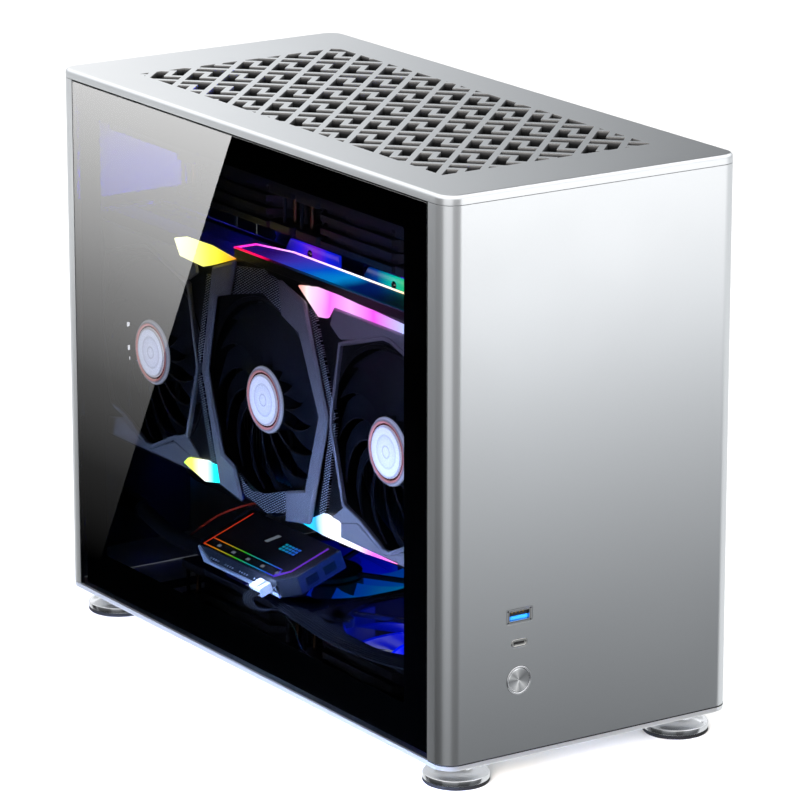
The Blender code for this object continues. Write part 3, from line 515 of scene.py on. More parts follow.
@finish
def spun_aluminium(name, axis, across, up):
    """Aluminium faced on a lathe: fine rings about its centre throw bright fans of light across it, painted
    here by their angle because the rings are too fine to catch them.
    axis is the turning axis's letter, and across and up are where it stands. The rings are 0.1 mm apart."""
    made, tree, shader = principled(name, Metallic=1.0, Roughness=0.2)
    shader.inputs["Base Color"].default_value = linear("#e6e7e8")
    place = node(tree, "TexCoord").outputs["Object"]
    centre = on_plane(axis, across, up, 0.0)
    flat = on_plane(axis, 1.0, 1.0, 0.0)
    drawn = node(
        tree, "Mapping",
        {"vector_type": "POINT", "Location": tuple(-a * b for a, b in zip(centre, flat)), "Scale": tuple(flat)},
        {"Vector": place},
    ).outputs[0]
    rings = node(
        tree, "TexWave",
        {
            "wave_type": "RINGS", "rings_direction": "SPHERICAL", "Scale": 0.05 / (0.1 * MM),
            "Distortion": 0.4, "Detail": 1.0,
        },
        {"Vector": drawn},
    ).outputs[1]
    bump = node(tree, "Bump", {"Strength": 0.6, "Distance": 0.02 * MM}, {"Height": rings}).outputs[0]
    tree.links.new(bump, shader.inputs["Normal"])
    lay = {"X": (1, 2), "Y": (0, 2), "Z": (0, 1)}[axis]
    parts = node(tree, "SeparateXYZ", (), {0: drawn}).outputs
    flat_place = node(tree, "CombineXYZ", (), {0: parts[lay[0]], 1: parts[lay[1]]}).outputs[0]
    turn = node(tree, "TexGradient", {"gradient_type": "RADIAL"}, {"Vector": flat_place}).outputs[1]
    fans = [
        (0.0, "#9c9ea0"), (0.12, "#d4d6d8"), (0.2, "#ffffff"), (0.27, "#b4b6b8"), (0.36, "#e9eaeb"),
        (0.45, "#a4a6a8"), (0.6, "#8c8e90"), (0.72, "#c0c2c4"), (0.8, "#fafbfc"), (0.88, "#b4b6b8"),
        (0.94, "#e4e6e7"), (1.0, "#9c9ea0"),
    ]
    colour = node(tree, "ValToRGB", (), {0: turn}, fans).outputs[0]
    tree.links.new(colour, shader.inputs["Base Color"])
    # The painted fans of light are also emitted faintly, so they glow as painted highlight.
    tree.links.new(colour, shader.inputs["Emission Color"])
    shader.inputs["Emission Strength"].default_value = 0.28
    return made


@finish
def tinned_steel():
    """Thin pressed steel with a tin plating, as on connector shells: bright, slightly streaked."""
    return surface(
        "tinned_steel", linear("#d4d4d2"), linear("#b4b3b0"), (0.16, 0.3), 1.2, 0.002, (1, 4, 1), Metallic=1.0
    )[0]


@finish
def powder_coated_steel():
    """Sheet steel under black powder coat: satin, with the coat's fine orange peel."""
    return surface("powder_coated_steel", linear("#232427"), linear("#1b1b1e"), (0.38, 0.5), 0.9, 0.02)[0]


@finish
def moulded_black():
    """Glass-filled nylon, moulded in black against a spark-eroded tool: matt with a soft highlight."""
    look = bpy.context.scene.tower_finishes
    return surface(
        "moulded_black", shade(look.plastic_colour, 1.15), shade(look.plastic_colour, 0.85), (0.36, 0.5),
        0.5, 0.012,
    )[0]


@finish
def fan_blade_black():
    """Glossier black PBT of the blades, with flow lines from the mould."""
    return surface(
        "fan_blade_black", linear("#15181f"), linear("#101218"), (0.42, 0.5), 9.0, 0.01, (1, 1, 3)
    )[0]


@finish
def black_rubber():
    """Cast nitrile rubber, dusty matt."""
    return surface("black_rubber", linear("#1a1a1b"), linear("#101011"), (0.7, 0.9), 0.4, 0.03)[0]


@finish
def black_frit():
    """Ceramic ink fired on the back of the glass: opaque, deep black."""
    sockets = {"Specular IOR Level": 0.02}
    return surface("black_frit", linear("#020202"), linear("#010101"), (0.5, 0.6), 0.3, 0.002, **sockets)[0]


@finish
def tinted_glass():
    """Smoked tempered glass with a half-mirror coating: it darkens what is behind it and mirrors the studio
    on its face."""
    look = bpy.context.scene.tower_finishes
    made = bpy.data.materials.new("tinted_glass")
    made.use_nodes = True
    tree = made.node_tree
    tree.nodes.remove(tree.nodes["Principled BSDF"])
    clear = node(tree, "BsdfTransparent", {"Color": (*look.glass_tint, 1.0)}).outputs[0]
    mirror = node(tree, "BsdfGlossy", {"Color": (1, 1, 1, 1), "Roughness": 0.0}).outputs[0]
    share = node(tree, "Fresnel", {"IOR": 2.3}).outputs[0]
    both = node(tree, "MixShader", (), {0: share, 1: clear, 2: mirror}).outputs[0]
    tree.links.new(both, tree.nodes["Material Output"].inputs["Surface"])
    return made


@finish
def glass_back():
    """The glass's inner face and ground edges, which only tint."""
    look = bpy.context.scene.tower_finishes
    made = bpy.data.materials.new("glass_back")
    made.use_nodes = True
    tree = made.node_tree
    tree.nodes.remove(tree.nodes["Principled BSDF"])
    clear = node(tree, "BsdfTransparent", {"Color": (*look.glass_tint, 1.0)}).outputs[0]
    tree.links.new(clear, tree.nodes["Material Output"].inputs["Surface"])
    return made


@finish
def circuit_board():
    """Glass-epoxy board under black solder mask: glossy, with copper tracks that stand up under the mask."""
    made, tree, shader = surface(
        "circuit_board", linear("#17191b"), linear("#0e1011"), (0.25, 0.4), 1.5, 0.005
    )
    place = node(tree, "TexCoord").outputs["Object"]
    turned_place = node(tree, "Mapping", {"Rotation": (0, math.radians(90), 0)}, {"Vector": place}).outputs[0]
    tracks = node(
        tree, "TexBrick",
        {
            "Scale": 260.0, "Mortar Size": 0.012, "Brick Width": 1.7, "Row Height": 0.3,
            "Mortar": linear("#0a0b0c"),
        },
        {"Vector": turned_place},
    )
    tracks.inputs["Color1"].default_value = linear("#1c1f21")
    tracks.inputs["Color2"].default_value = linear("#131517")
    tree.links.new(tracks.outputs[0], shader.inputs["Base Color"])
    return made


@finish
def fin_aluminium():
    """Rolled aluminium sheet as bare cooling fins: dull silver, with rolling lines."""
    return surface(
        "fin_aluminium", linear("#a9acb0"), linear("#8d9094"), (0.3, 0.45), 1.0, 0.004, (1, 1, 8), Metallic=1.0
    )[0]


@finish
def anodised_black():
    """Aluminium anodised black, as on memory spreaders and backplates: dark metal with a brushed grain."""
    base, streak = linear("#2b2c30"), linear("#1c1d20")
    return surface("anodised_black", base, streak, (0.3, 0.42), 0.6, 0.006, (1, 1, 12), Metallic=0.7)[0]


@finish
def gunmetal_paint():
    """Metallic paint over moulded plastic: grey, with fine flake that catches coloured light."""
    look = bpy.context.scene.tower_finishes
    return surface(
        "gunmetal_paint", shade(look.shroud_colour, 1.2), shade(look.shroud_colour, 0.85), (0.34, 0.5),
        0.45, 0.008, Metallic=0.35,
    )[0]


@finish
def shroud_black():
    """The card's dark base moulding between the painted frames."""
    return surface("shroud_black", linear("#151517"), linear("#0c0c0e"), (0.32, 0.48), 0.6, 0.012)[0]


@finish
def woven_insert():
    """Embossed insert of staggered slanted bars, like coarse basket weave, 2.2 mm by 1 mm each."""
    made, tree, shader = principled("woven_insert", Roughness=0.35, Metallic=0.5)
    parts = node(tree, "SeparateXYZ", (), {0: node(tree, "TexCoord").outputs["Object"]}).outputs
    flat = node(tree, "CombineXYZ", (), {0: parts[1], 1: parts[2]}).outputs[0]
    turn = node(tree, "Mapping", {"Rotation": (0, 0, math.radians(28))}, {"Vector": flat}).outputs[0]
    bars = node(
        tree, "TexBrick",
        {
            "Scale": 1 / (2.4 * MM), "Mortar Size": 0.16, "Mortar Smooth": 0.3, "Brick Width": 1.0,
            "Row Height": 0.5, "Color1": linear("#e6e8ee"), "Color2": linear("#c4c8d0"),
            "Mortar": linear("#09090b"),
        },
        {"Vector": turn},
    )
    tree.links.new(bars.outputs[0], shader.inputs["Base Color"])
    bump = node(
        tree, "Bump", {"Strength": 1.0, "Distance": 0.3 * MM, "invert": True}, {"Height": bars.outputs[1]}
    ).outputs[0]
    tree.links.new(bump, shader.inputs["Normal"])
    return made


@finish
def cable_jacket():
    """Soft black PVC over the wires, with a faint spiral of the wires inside."""
    return surface("cable_jacket", linear("#1b1c20"), linear("#101114"), (0.3, 0.45), 1.2, 0.02)[0]


@finish
def coloured_plastic(name, colour):
    """Small glossy mouldings, such as connector tongues and plugs."""
    return surface(name, linear(colour), shade(linear(colour), 0.85), (0.25, 0.4), 0.6, 0.006)[0]


@finish
def black_connector():
    """Black nylon of sockets and plugs: dull, a little paler where it is worn."""
    return coloured_plastic("black_connector", "#141416")


@finish
def plated_metal(name, colour):
    """Plated screws and contacts."""
    return surface(
        name, linear(colour), shade(linear(colour), 0.8), (0.18, 0.32), 0.5, 0.004, Metallic=1.0
    )[0]


@finish
def light_guide(name, strength, axis, start, end, stops):
    """Milky acrylic lit from its edges by coloured diodes. The colour runs along one axis between two places,
    and soft blotches show where each diode sits. The controller's print uses it too, where its glow is painted
    light."""
    look = bpy.context.scene.tower_finishes
    made, tree, shader = principled(name, Roughness=0.25)
    shader.inputs["Base Color"].default_value = linear("#1c1c22")
    shader.inputs["Emission Strength"].default_value = strength * look.glow
    place = node(tree, "TexCoord").outputs["Object"]
    parts = node(tree, "SeparateXYZ", (), {0: place}).outputs
    run = node(
        tree, "MapRange", {"From Min": start, "From Max": end}, {"Value": parts["XYZ".index(axis)]}
    ).outputs[0]
    blotch = node(tree, "TexNoise", {"Scale": 45.0, "Detail": 1.0}, {"Vector": place}).outputs[0]
    swing = node(tree, "MapRange", {"To Min": -0.05, "To Max": 0.05}, {"Value": blotch}).outputs[0]
    shifted = node(tree, "Math", {"operation": "ADD", "use_clamp": True}, {0: run, 1: swing}).outputs[0]
    colour = node(tree, "ValToRGB", (), {0: shifted}, stops).outputs[0]
    tree.links.new(colour, shader.inputs["Emission Color"])
    return made


# Case shells


SHELLS = {
    "front_panel": "case", "rear_panel": "case", "base_plate": "case", "top_cover": "top_lid",
    "right_panel": "right_side",
}


def make_shells():
    """The five metal shells, each with broken edges and smooth corners."""
    width = bpy.context.scene.tower_sizes.edge
    for name, body in SHELLS.items():
        shape = soften(copied(name), width * (0.6 if name == "top_cover" else 1.0), 2, 40)
        # The lattice's inner walls take the second finish, with its painted shade darkening downwards.
        if name == "top_cover":
            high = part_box(name)[1]
            for face in shape.faces:
                spot = face.calc_center_median()
                inside = abs(spot.x) < high.x - 20 * MM and abs(spot.y) < high.y - 20 * MM
                if inside and abs(face.normal.z) < 0.5:
                    face.material_index = 1
        # The base sheet's paler finish is painted light; the other shells share one aluminium.
        metal = base_aluminium_painted_light() if name == "base_plate" else blasted_aluminium()
        finishes = [metal, cut_aluminium_painted_shade()]
        piece(f"{name}_shell", shape, body, finishes, [name], 50)


def make_seams():
    """A dark gasket in the joint under the front shell, as proud of the metal as a hair."""
    low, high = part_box("front_panel")
    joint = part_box("base_plate")[1].z
    proud = 0.04 * MM
    radius = 10 * MM
    left = arc((low.x + radius, low.y + radius), radius + proud, 180, 270, 12)
    right = arc((high.x - radius, low.y + radius), radius + proud, 270, 360, 12)
    back = high.y - 0.5 * MM
    outline = [(low.x - proud, back), *left, *right, (high.x + proud, back)]
    shape = plate(outline, "Z", joint - 0.25 * MM, joint + 0.45 * MM)
    piece("front_gasket", shape, "case", [black_rubber()])


def screw_head(centre, axis, radius, height):
    """A domed screw head with a round socket, facing along the axis."""
    profile = [
        (0.0, height * 0.35), (radius * 0.42, height * 0.35), (radius * 0.46, height * 0.95),
        (radius * 0.62, height), (radius * 0.9, height * 0.62), (radius, height * 0.2), (radius, 0.0),
        (0.0, 0.0),
    ]
    return turned(profile, centre, axis, 20)


# Glass side


def make_glass():
    low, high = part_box("glass_panel")
    shape = soften(block(low, high), 0.5 * MM, 2)
    for face in shape.faces:
        face.material_index = 0 if face.normal.x < -0.9 else 1
    piece("glass_sheet", shape, "glass_side", [tinted_glass(), glass_back()], ["glass_panel"])
    edge = 0.6 * MM
    print_x = high.x + 0.05 * MM
    outer = rounded((low.y + edge, low.z + edge), (high.y - edge, high.z - edge), 1.0 * MM)
    window = rounded((low.y + 27.2 * MM, low.z + 21.7 * MM), (high.y - 22.7 * MM, high.z - 18.7 * MM), 1.5 * MM)
    piece(
        "glass_border", plate(outer, "X", print_x, print_x + 0.15 * MM, [window]), "glass_side",
        [black_frit()],
    )
    for place in ("front", "rear"):
        name = f"glass_carrier_{place}"
        piece(f"{name}_strip", soften(copied(name), 0.25 * MM), "glass_side",
              [powder_coated_steel()], [name])


# Feet


def make_feet():
    for depth in ("front", "rear"):
        for side in ("left", "right"):
            name = f"foot_{depth}_{side}"
            low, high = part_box(name)
            centre = (low + high) / 2
            radius = (high.x - low.x) / 2
            tall = high.z - low.z
            profile = [
                (0.0, tall), (radius * 0.60, tall), (radius * 0.605, tall * 0.90),
                (radius * 0.62, tall * 0.74), (radius * 0.66, tall * 0.58), (radius * 0.73, tall * 0.44),
                (radius * 0.82, tall * 0.35), (radius * 0.91, tall * 0.315),
                (radius * 0.955, tall * 0.33), (radius * 0.985, tall * 0.31), (radius, tall * 0.27),
                (radius, tall * 0.06), (radius * 0.98, 0.0), (0.0, 0.0),
            ]
            shape = turned(profile, (centre.x, centre.y, low.z), "Z", 96)
            piece(f"{name}_turning", shape, "case", [polished_aluminium()], [name], 60)
            pad = f"foot_pad_{depth}_{side}"
            low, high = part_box(pad)
            radius = (high.x - low.x) / 2 + 0.75 * MM
            tall = high.z - low.z + 0.5 * MM
            profile = [(0.0, tall), (radius, tall), (radius, tall * 0.3), (radius * 0.97, 0.0), (0.0, 0.0)]
            shape = turned(profile, (centre.x, centre.y, low.z), "Z", 64)
            piece(f"{pad}_disc", shape, "case", [black_rubber()], [pad])


# Front controls


def make_power_button():
    low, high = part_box("power_button_bezel")
    centre = Vector(((low.x + high.x) / 2, low.y, (low.z + high.z) / 2))
    radius = (high.x - low.x) / 2
    deep = high.y - low.y
    cap_low, cap_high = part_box("power_button_cap")
    bore = (cap_high.x - cap_low.x) / 2 + 0.35 * MM
    ring = [
        (bore, -deep), (bore, -0.3 * MM), (bore + 0.2 * MM, -0.1 * MM), (bore + 0.45 * MM, 0.0),
        (radius - 0.35 * MM, 0.0), (radius - 0.1 * MM, -0.12 * MM), (radius, -0.35 * MM), (radius, -deep),
    ]
    piece(
        "power_button_ring", turned(ring, centre, "-Y", 96, True), "case",
        [polished_aluminium()], ["power_button_bezel"], 60,
    )
    centre = Vector((centre.x, cap_low.y, centre.z))
    radius = (cap_high.x - cap_low.x) / 2
    profile = [
        (0.0, -0.9 * MM), (0.25 * MM, -0.8 * MM), (0.3 * MM, -0.32 * MM), (0.4 * MM, -0.28 * MM),
        (2.0 * MM, -0.2 * MM), (4.0 * MM, -0.08 * MM), (radius - 0.35 * MM, 0.0),
        (radius - 0.1 * MM, -0.12 * MM), (radius, -0.5 * MM), (radius, -6.2 * MM), (1.6 * MM, -6.3 * MM),
        (1.6 * MM, cap_low.y - cap_high.y), (0.0, cap_low.y - cap_high.y),
    ]
    cap = turned(profile, centre, "-Y", 96)
    piece(
        "power_button_disc", cap, "power_button",
        [spun_aluminium("faced_button", "Y", centre.x, centre.z)], ["power_button_cap"], 60,
    )


def round_frame(low, high, wide, tall, radius, steps=4):
    """A rounded outline across Y, wider and taller than a box on each side, all three in millimetres."""
    corners = (low.x - wide * MM, low.z - tall * MM), (high.x + wide * MM, high.z + tall * MM)
    return rounded(*corners, radius * MM, steps)


def make_wide_port(wall):
    """The larger socket: a steel shell, a blue tongue below and a dark throat with contacts above."""
    low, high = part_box("usb_a_port")
    centre = (low + high) / 2
    face = low.y
    inner = round_frame(low, high, -0.35, -0.45, 0.3)
    lip = soften(
        plate(round_frame(low, high, 0.55, 0.2, 0.5), "Y", face - 0.75 * MM, face, [inner]), 0.2 * MM, 2
    )
    gap = round_frame(low, high, 0.75, 0.4, 0.6)
    fill = plate(round_frame(low, high, 1.55, 1.0, 0.5), "Y", wall + 0.06 * MM, face, [gap])
    shell = plate(round_frame(low, high, 0.0, 0.0, 0.5), "Y", face, high.y - 1.0 * MM, [inner])
    side = Vector((0.2 * MM, 0.0, 0.2 * MM))
    back = block((low.x + side.x, high.y - 1.2 * MM, low.z + side.z), high - side)
    top = centre.z - 0.3 * MM
    tongue_low = (low.x + 0.6 * MM, face + 0.5 * MM, low.z + 0.55 * MM)
    tongue = soften(block(tongue_low, (high.x - 0.6 * MM, high.y - 1.1 * MM, top)), 0.15 * MM)
    contacts = []
    for number in range(4):
        x = centre.x + (number - 1.5) * 2.3 * MM
        contact_low = (x - 0.4 * MM, face + 0.9 * MM, top + 1.4 * MM)
        contacts.append(painted(block(contact_low, (x + 0.4 * MM, face + 1.1 * MM, top + 2.2 * MM)), 2))
    dots = []
    for x in (centre.x - 7.1 * MM, centre.x + 7.1 * MM):
        for z in (centre.z - 3.1 * MM, centre.z + 3.1 * MM):
            dots.append(painted(rod((x, wall + 0.02 * MM, z), (x, face + 1.5 * MM, z), 0.5 * MM, 12), 3))
    hood = block((low.x + 0.5 * MM, face + 1.0 * MM, top + 0.1 * MM), (high.x - 0.5 * MM, high.y, high.z))
    shapes = [
        lip, shell, painted(back, 3), painted(tongue, 1), *contacts, *dots, painted(hood, 3), painted(fill, 4)
    ]
    finishes = [
        tinned_steel(), coloured_plastic("blue_connector", "#1f8dff"), plated_metal("gold_contacts", "#d9a441"),
        black_connector(), blasted_aluminium(),
    ]
    piece("usb_a_socket", joined(shapes), "case", finishes, ["usb_a_port"])


def make_oval_port(wall):
    """The smaller socket: an oval steel ring, with a dark slot and a thin tongue."""
    low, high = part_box("usb_c_port")
    centre = (low + high) / 2
    face = low.y
    half = (high.z - low.z) / 2 / MM
    inner = round_frame(low, high, -0.35, -0.35, half - 0.36, 8)
    outer = round_frame(low, high, 0.55, 0.55, half + 0.5, 8)
    lip = soften(plate(outer, "Y", wall - 0.12 * MM, face, [inner]), 0.25 * MM, 3)
    shell = plate(round_frame(low, high, 0.0, 0.0, half - 0.01, 8), "Y", face, high.y - 1.0 * MM, [inner])
    slot = round_frame(centre, centre, 3.3, 0.6, 0.55, 6)
    throat = plate(inner, "Y", face - 0.1 * MM, face + 0.9 * MM, [slot])
    back = plate(slot, "Y", face + 0.8 * MM, high.y)
    tongue = plate(round_frame(centre, centre, 2.6, 0.16, 0.1), "Y", face + 0.3 * MM, face + 0.9 * MM)
    shape = joined([lip, shell, throat, painted(back, 1), painted(tongue, 1)])
    finishes = [tinned_steel(), black_connector()]
    piece("usb_c_socket", shape, "case", finishes, ["usb_c_port"])


def make_front_ports():
    """The two sockets, the switch behind the button and the small board that carries them."""
    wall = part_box("front_panel")[0].y
    make_wide_port(wall)
    make_oval_port(wall)
    shape = soften(copied("power_switch_body"), 0.3 * MM)
    piece("power_switch_housing", shape, "case", [moulded_black()], ["power_switch_body"])
    low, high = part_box("front_io_board")
    chips = [soften(block(low, high), 0.1 * MM)]
    for number in range(6):
        x = low.x + (3 + number * 4) * MM
        chip = block((x, high.y - 7 * MM, low.z - 0.9 * MM), (x + 2.2 * MM, high.y - 4 * MM, low.z))
        chips.append(painted(chip, 1))
    finishes = [circuit_board(), black_connector()]
    piece("front_io_panel", joined(chips), "case", finishes, ["front_io_board"])


# Fans


def fan_blade(count, number, hub, tip, low, high, sweep, thick):
    """One curved blade about +Z, from a grid bent round the hub and given a thickness."""
    shape = bmesh.new()
    bmesh.ops.create_grid(shape, x_segments=8, y_segments=5, size=0.5)
    chord = math.tau / count
    for vert in shape.verts:
        out, across = vert.co.x + 0.5, vert.co.y
        radius = hub + out * (tip - hub)
        share = 0.62 + 0.26 * math.sin(out * math.pi * 0.6)
        bow = math.radians(sweep) * out**1.6
        turn = chord * (number + across * share) + bow
        rise = across * (high - low) * (0.95 - 0.3 * out) - 0.08 * (high - low) * (0.25 - across * across)
        vert.co = (radius * math.cos(turn), radius * math.sin(turn), (low + high) / 2 + rise)
    bmesh.ops.recalc_face_normals(shape, faces=shape.faces)
    bmesh.ops.solidify(shape, geom=shape.faces[:], thickness=thick)
    return closed(shape)


def fan_blades(count, hub, tip, low, high, sweep, thick):
    return [fan_blade(count, number, hub, tip, low, high, sweep, thick) for number in range(count)]


def make_card_rotors():
    """Graphics card fans: dark curved blades round a faced cap, bright with painted glow, with a copper-pink
    ring.
    """
    count = bpy.context.scene.tower_sizes.card_blades
    ring = plated_metal("rose_ring", "#d98a86")
    for place in ("front", "middle", "rear"):
        name = f"gpu_fan_rotor_{place}"
        low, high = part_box(name)
        centre = Vector((high.x, (low.y + high.y) / 2, (low.z + high.z) / 2))
        deep = high.x - low.x
        tip = (high.y - low.y) / 2
        hub = 18.5 * MM
        body = [
            (0.0, deep - 2.2 * MM), (hub - 1.2 * MM, deep - 2.2 * MM), (hub, deep - 3.4 * MM),
            (hub, 0.4 * MM), (hub - 0.6 * MM, 0.0), (0.0, 0.0),
        ]
        rim = [
            (hub - 3.4 * MM, deep - 2.0 * MM), (hub - 3.2 * MM, deep - 0.7 * MM),
            (hub - 2.6 * MM, deep - 0.3 * MM), (hub - 1.2 * MM, deep - 0.7 * MM),
            (hub - 0.2 * MM, deep - 2.0 * MM), (hub - 1.4 * MM, deep - 2.8 * MM),
        ]
        band = [
            (hub - 4.5 * MM, deep - 2.0 * MM), (hub - 4.4 * MM, deep - 0.9 * MM),
            (hub - 3.5 * MM, deep - 0.9 * MM), (hub - 3.4 * MM, deep - 2.0 * MM),
        ]
        face = [
            (0.0, deep - 0.25 * MM), (7.0 * MM, deep - 0.3 * MM), (10.5 * MM, deep - 0.5 * MM),
            (12.6 * MM, deep - 0.15 * MM), (13.4 * MM, deep), (13.9 * MM, deep - 0.3 * MM),
            (14.0 * MM, deep - 2.0 * MM), (0.0, deep - 2.1 * MM),
        ]
        spot = Vector((0.0, 0.0, 0.0))
        blades = fan_blades(count, hub - 0.5 * MM, tip, 1.2 * MM, deep - 2.6 * MM, 34, 0.9 * MM)
        cap = [
            painted(turned(rim, spot, "Z", 72, True), 1), painted(turned(band, spot, "Z", 72, True), 2),
            painted(turned(face, spot, "Z", 72), 1),
        ]
        shape = facing(joined([*blades, turned(body, spot, "Z", 72), *cap]), "-X", centre)
        body_name = f"gpu_fan_{place}"
        finishes = [fan_blade_black(), glowing_cap_painted_light(place, centre.y, centre.z), ring]
        piece(f"card_fan_{place}", shape, body_name, finishes, [name], 45)


@finish
def glowing_cap_painted_light(place, y, z):
    """The faced caps in the middle of the card's fans: pale metal turned in fine rings, inside a thin
    copper-pink ring.
    Their colour is also emitted, a painted glow that stands in for the light on them. The rings follow the
    distance from the cap's own axis."""
    made, tree, shader = principled(f"glowing_cap_painted_light_{place}", Roughness=0.34)
    look = bpy.context.scene.tower_finishes
    # Painted glow: the cap's ring colours are emitted as light.
    shader.inputs["Emission Strength"].default_value = 0.8 * look.glow
    spot = node(tree, "TexCoord").outputs["Object"]
    drawn = node(tree, "Mapping", {"Location": (0, -y, -z), "Scale": (0, 1, 1)}, {"Vector": spot}).outputs[0]
    away = node(tree, "VectorMath", {"operation": "LENGTH"}, {0: drawn}).outputs["Value"]
    run = node(tree, "MapRange", {"From Min": 0.0, "From Max": 18.5 * MM}, {"Value": away}).outputs[0]
    stops = [
        (0.0, "#fdfdff"), (0.14, "#f2f2f8"), (0.17, "#c4c4cc"), (0.21, "#f8f8fc"), (0.42, "#ececf4"),
        (0.47, "#d4d4dc"), (0.52, "#fbfbff"), (0.68, "#f0f0f6"), (0.73, "#a49ea2"), (0.77, "#ffffff"),
        (0.81, "#e9a9a2"), (0.86, "#c98078"), (0.90, "#77767c"), (0.95, "#b4b5bb"), (1.0, "#6c6d73"),
    ]
    colour = node(tree, "ValToRGB", (), {0: run}, stops).outputs[0]
    tree.links.new(colour, shader.inputs["Emission Color"])
    tree.links.new(colour, shader.inputs["Base Color"])
    rings = node(tree, "Math", {"operation": "SINE"}, {
        0: node(tree, "Math", {"operation": "MULTIPLY", 1: math.tau / (0.45 * MM)}, {0: away}).outputs[0],
    }).outputs[0]
    bump = node(tree, "Bump", {"Distance": 0.03 * MM}, {"Height": rings}).outputs[0]
    tree.links.new(bump, shader.inputs["Normal"])
    return made


def cut_square(half, cut):
    """A square plan with its four corners cut off."""
    outline = []
    for turn in range(4):
        matrix = Matrix.Rotation(math.radians(90 * turn), 2)
        points = ((half, -half + cut), (half, half - cut), (half - cut, half))
        outline += [tuple(matrix @ Vector(point)) for point in points]
    return outline


def fan_housing(size, deep, bore, pad):
    """A square fan frame about +Z: corner pads top and bottom, and four slabs round a core between them."""
    half = size / 2
    opening = ring_of((0.0, 0.0), bore, 72)
    shapes = []
    slabs = 4
    thick = 0.135 * deep
    gap = (deep - thick * slabs) / (slabs - 1)
    outline = cut_square(half - 0.4 * MM, pad + 1.5 * MM)
    for number in range(slabs):
        low = number * (thick + gap)
        slab = plate(outline, "Z", low, low + thick, [opening])
        shapes.append(soften(slab, 0.6 * MM, 1, 50))
    recess = 0.04 * size
    core = plate(cut_square(half - recess, pad - recess + 2 * MM), "Z", 0.6 * MM, deep - 0.6 * MM, [opening])
    shapes.append(core)
    for low, high in ((0.0, 0.2 * deep), (0.8 * deep, deep)):
        for turn in range(4):
            outline = rounded((half - pad, half - pad), (half, half), 3.0 * MM, 4)
            foot = soften(plate(outline, "Z", low, high), 0.7 * MM, 2)
            turning = Matrix.Rotation(math.radians(90 * turn), 3, "Z")
            bmesh.ops.rotate(foot, verts=foot.verts, cent=(0, 0, 0), matrix=turning)
            shapes.append(foot)
    return shapes


def fan_struts(bore, hub, deep, count=4, thick=2.4):
    """The struts and motor mount across the open end."""
    shapes = []
    low = deep - 3.2 * MM
    for number in range(count):
        turn = math.radians(32 + 360 * number / count)
        out = Vector((math.cos(turn), math.sin(turn), 0.0))
        side = Vector((-math.sin(turn), math.cos(turn), 0.0)) * thick / 2 * MM
        start = out * (hub - 1.0 * MM)
        end = out * (bore + 1.0 * MM)
        outline = [start - side, end - side, end + side, start + side]
        strut = plate([(p.x, p.y) for p in outline], "Z", low, deep - 0.4 * MM)
        shapes.append(soften(strut, 0.5 * MM, 2))
    mount = [
        (0.0, deep - 0.4 * MM), (hub - 1.0 * MM, deep - 0.4 * MM), (hub, deep - 1.2 * MM),
        (hub, low - 0.4 * MM), (0.0, low - 0.4 * MM),
    ]
    shapes.append(turned(mount, (0, 0, 0), "Z", 48))
    return shapes


def make_case_fan_frame(level, place, centre, deep, bore):
    """One frame: stacked slabs with corner pads, struts to the hub, and screws and ribs near its corners."""
    name = f"{level}_fan_frame_{place}"
    low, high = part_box(name)
    shapes = fan_housing(high.x - low.x, deep, bore, 24.0 * MM) + fan_struts(bore, 20 * MM, deep)
    for turn in range(4):
        across = Matrix.Rotation(math.radians(90 * turn), 2) @ Vector((52.5 * MM, 52.5 * MM))
        shapes.append(painted(rod((*across, 1.0 * MM), (*across, deep - 1.0 * MM), 1.5 * MM, 16), 1))
        for out in (-1, 1):
            shifted = across + Vector((out * 4.2 * MM, -out * 4.2 * MM))
            shapes.append(rod((*shifted, 5.0 * MM), (*shifted, deep - 5.0 * MM), 1.1 * MM, 8))
    finishes = [moulded_black(), plated_metal("copper_screw", "#b98a63")]
    shape = facing(joined(shapes), "Z", centre)
    piece(f"{level}_fan_housing_{place}", shape, "case", finishes, [name], 40)


def make_case_fan_rotor(level, place, centre, blade_finish):
    """One rotor: swept blades round a hub with a rounded rim."""
    rotor = f"{level}_fan_rotor_{place}"
    low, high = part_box(rotor)
    hub, tall, tip = 20.5 * MM, high.z - low.z, (high.x - low.x) / 2
    count = bpy.context.scene.tower_sizes.case_blades
    blades = fan_blades(count, hub - 0.5 * MM, tip, 0.8 * MM, tall - 0.8 * MM, 24, 1.2 * MM)
    body = [
        (0.0, tall), (hub - 2.0 * MM, tall), (hub - 0.5 * MM, tall - 0.6 * MM), (hub, tall - 2.0 * MM),
        (hub, 0.5 * MM), (hub - 0.5 * MM, 0.0), (0.0, 0.0),
    ]
    shape = joined([*blades, painted(turned(body, (0, 0, 0), "Z", 64), 1)])
    shape = facing(shape, "Z", Vector((centre.x, centre.y, low.z)))
    finishes = [blade_finish, moulded_black()]
    piece(f"{level}_fan_blades_{place}", shape, f"{level}_fan_{place}", finishes, [rotor], 45)


def make_case_fans():
    """Four case fans. The lower two are milky and lit blue; long copper-coloured screws hold the upper two."""
    bore = 57.5 * MM
    for level in ("top", "bottom"):
        for place in ("front", "rear"):
            low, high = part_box(f"{level}_fan_frame_{place}")
            deep = high.z - low.z
            centre = Vector(((low.x + high.x) / 2, (low.y + high.y) / 2, low.z))
            make_case_fan_frame(level, place, centre, deep, bore)
            if level == "top":
                make_case_fan_rotor(level, place, centre, fan_blade_black())
                continue
            lit = lit_blades(place, centre.x, centre.y)
            make_case_fan_rotor(level, place, centre, lit)
            near, far = bore - 1.1 * MM, bore - 0.15 * MM
            ring = [(near, 3.0 * MM), (near, deep - 3.0 * MM), (far, deep - 2.4 * MM), (far, 2.4 * MM)]
            piece(f"fan_glow_ring_{place}", turned(ring, centre, "Z", 96, True), "case", [lit])


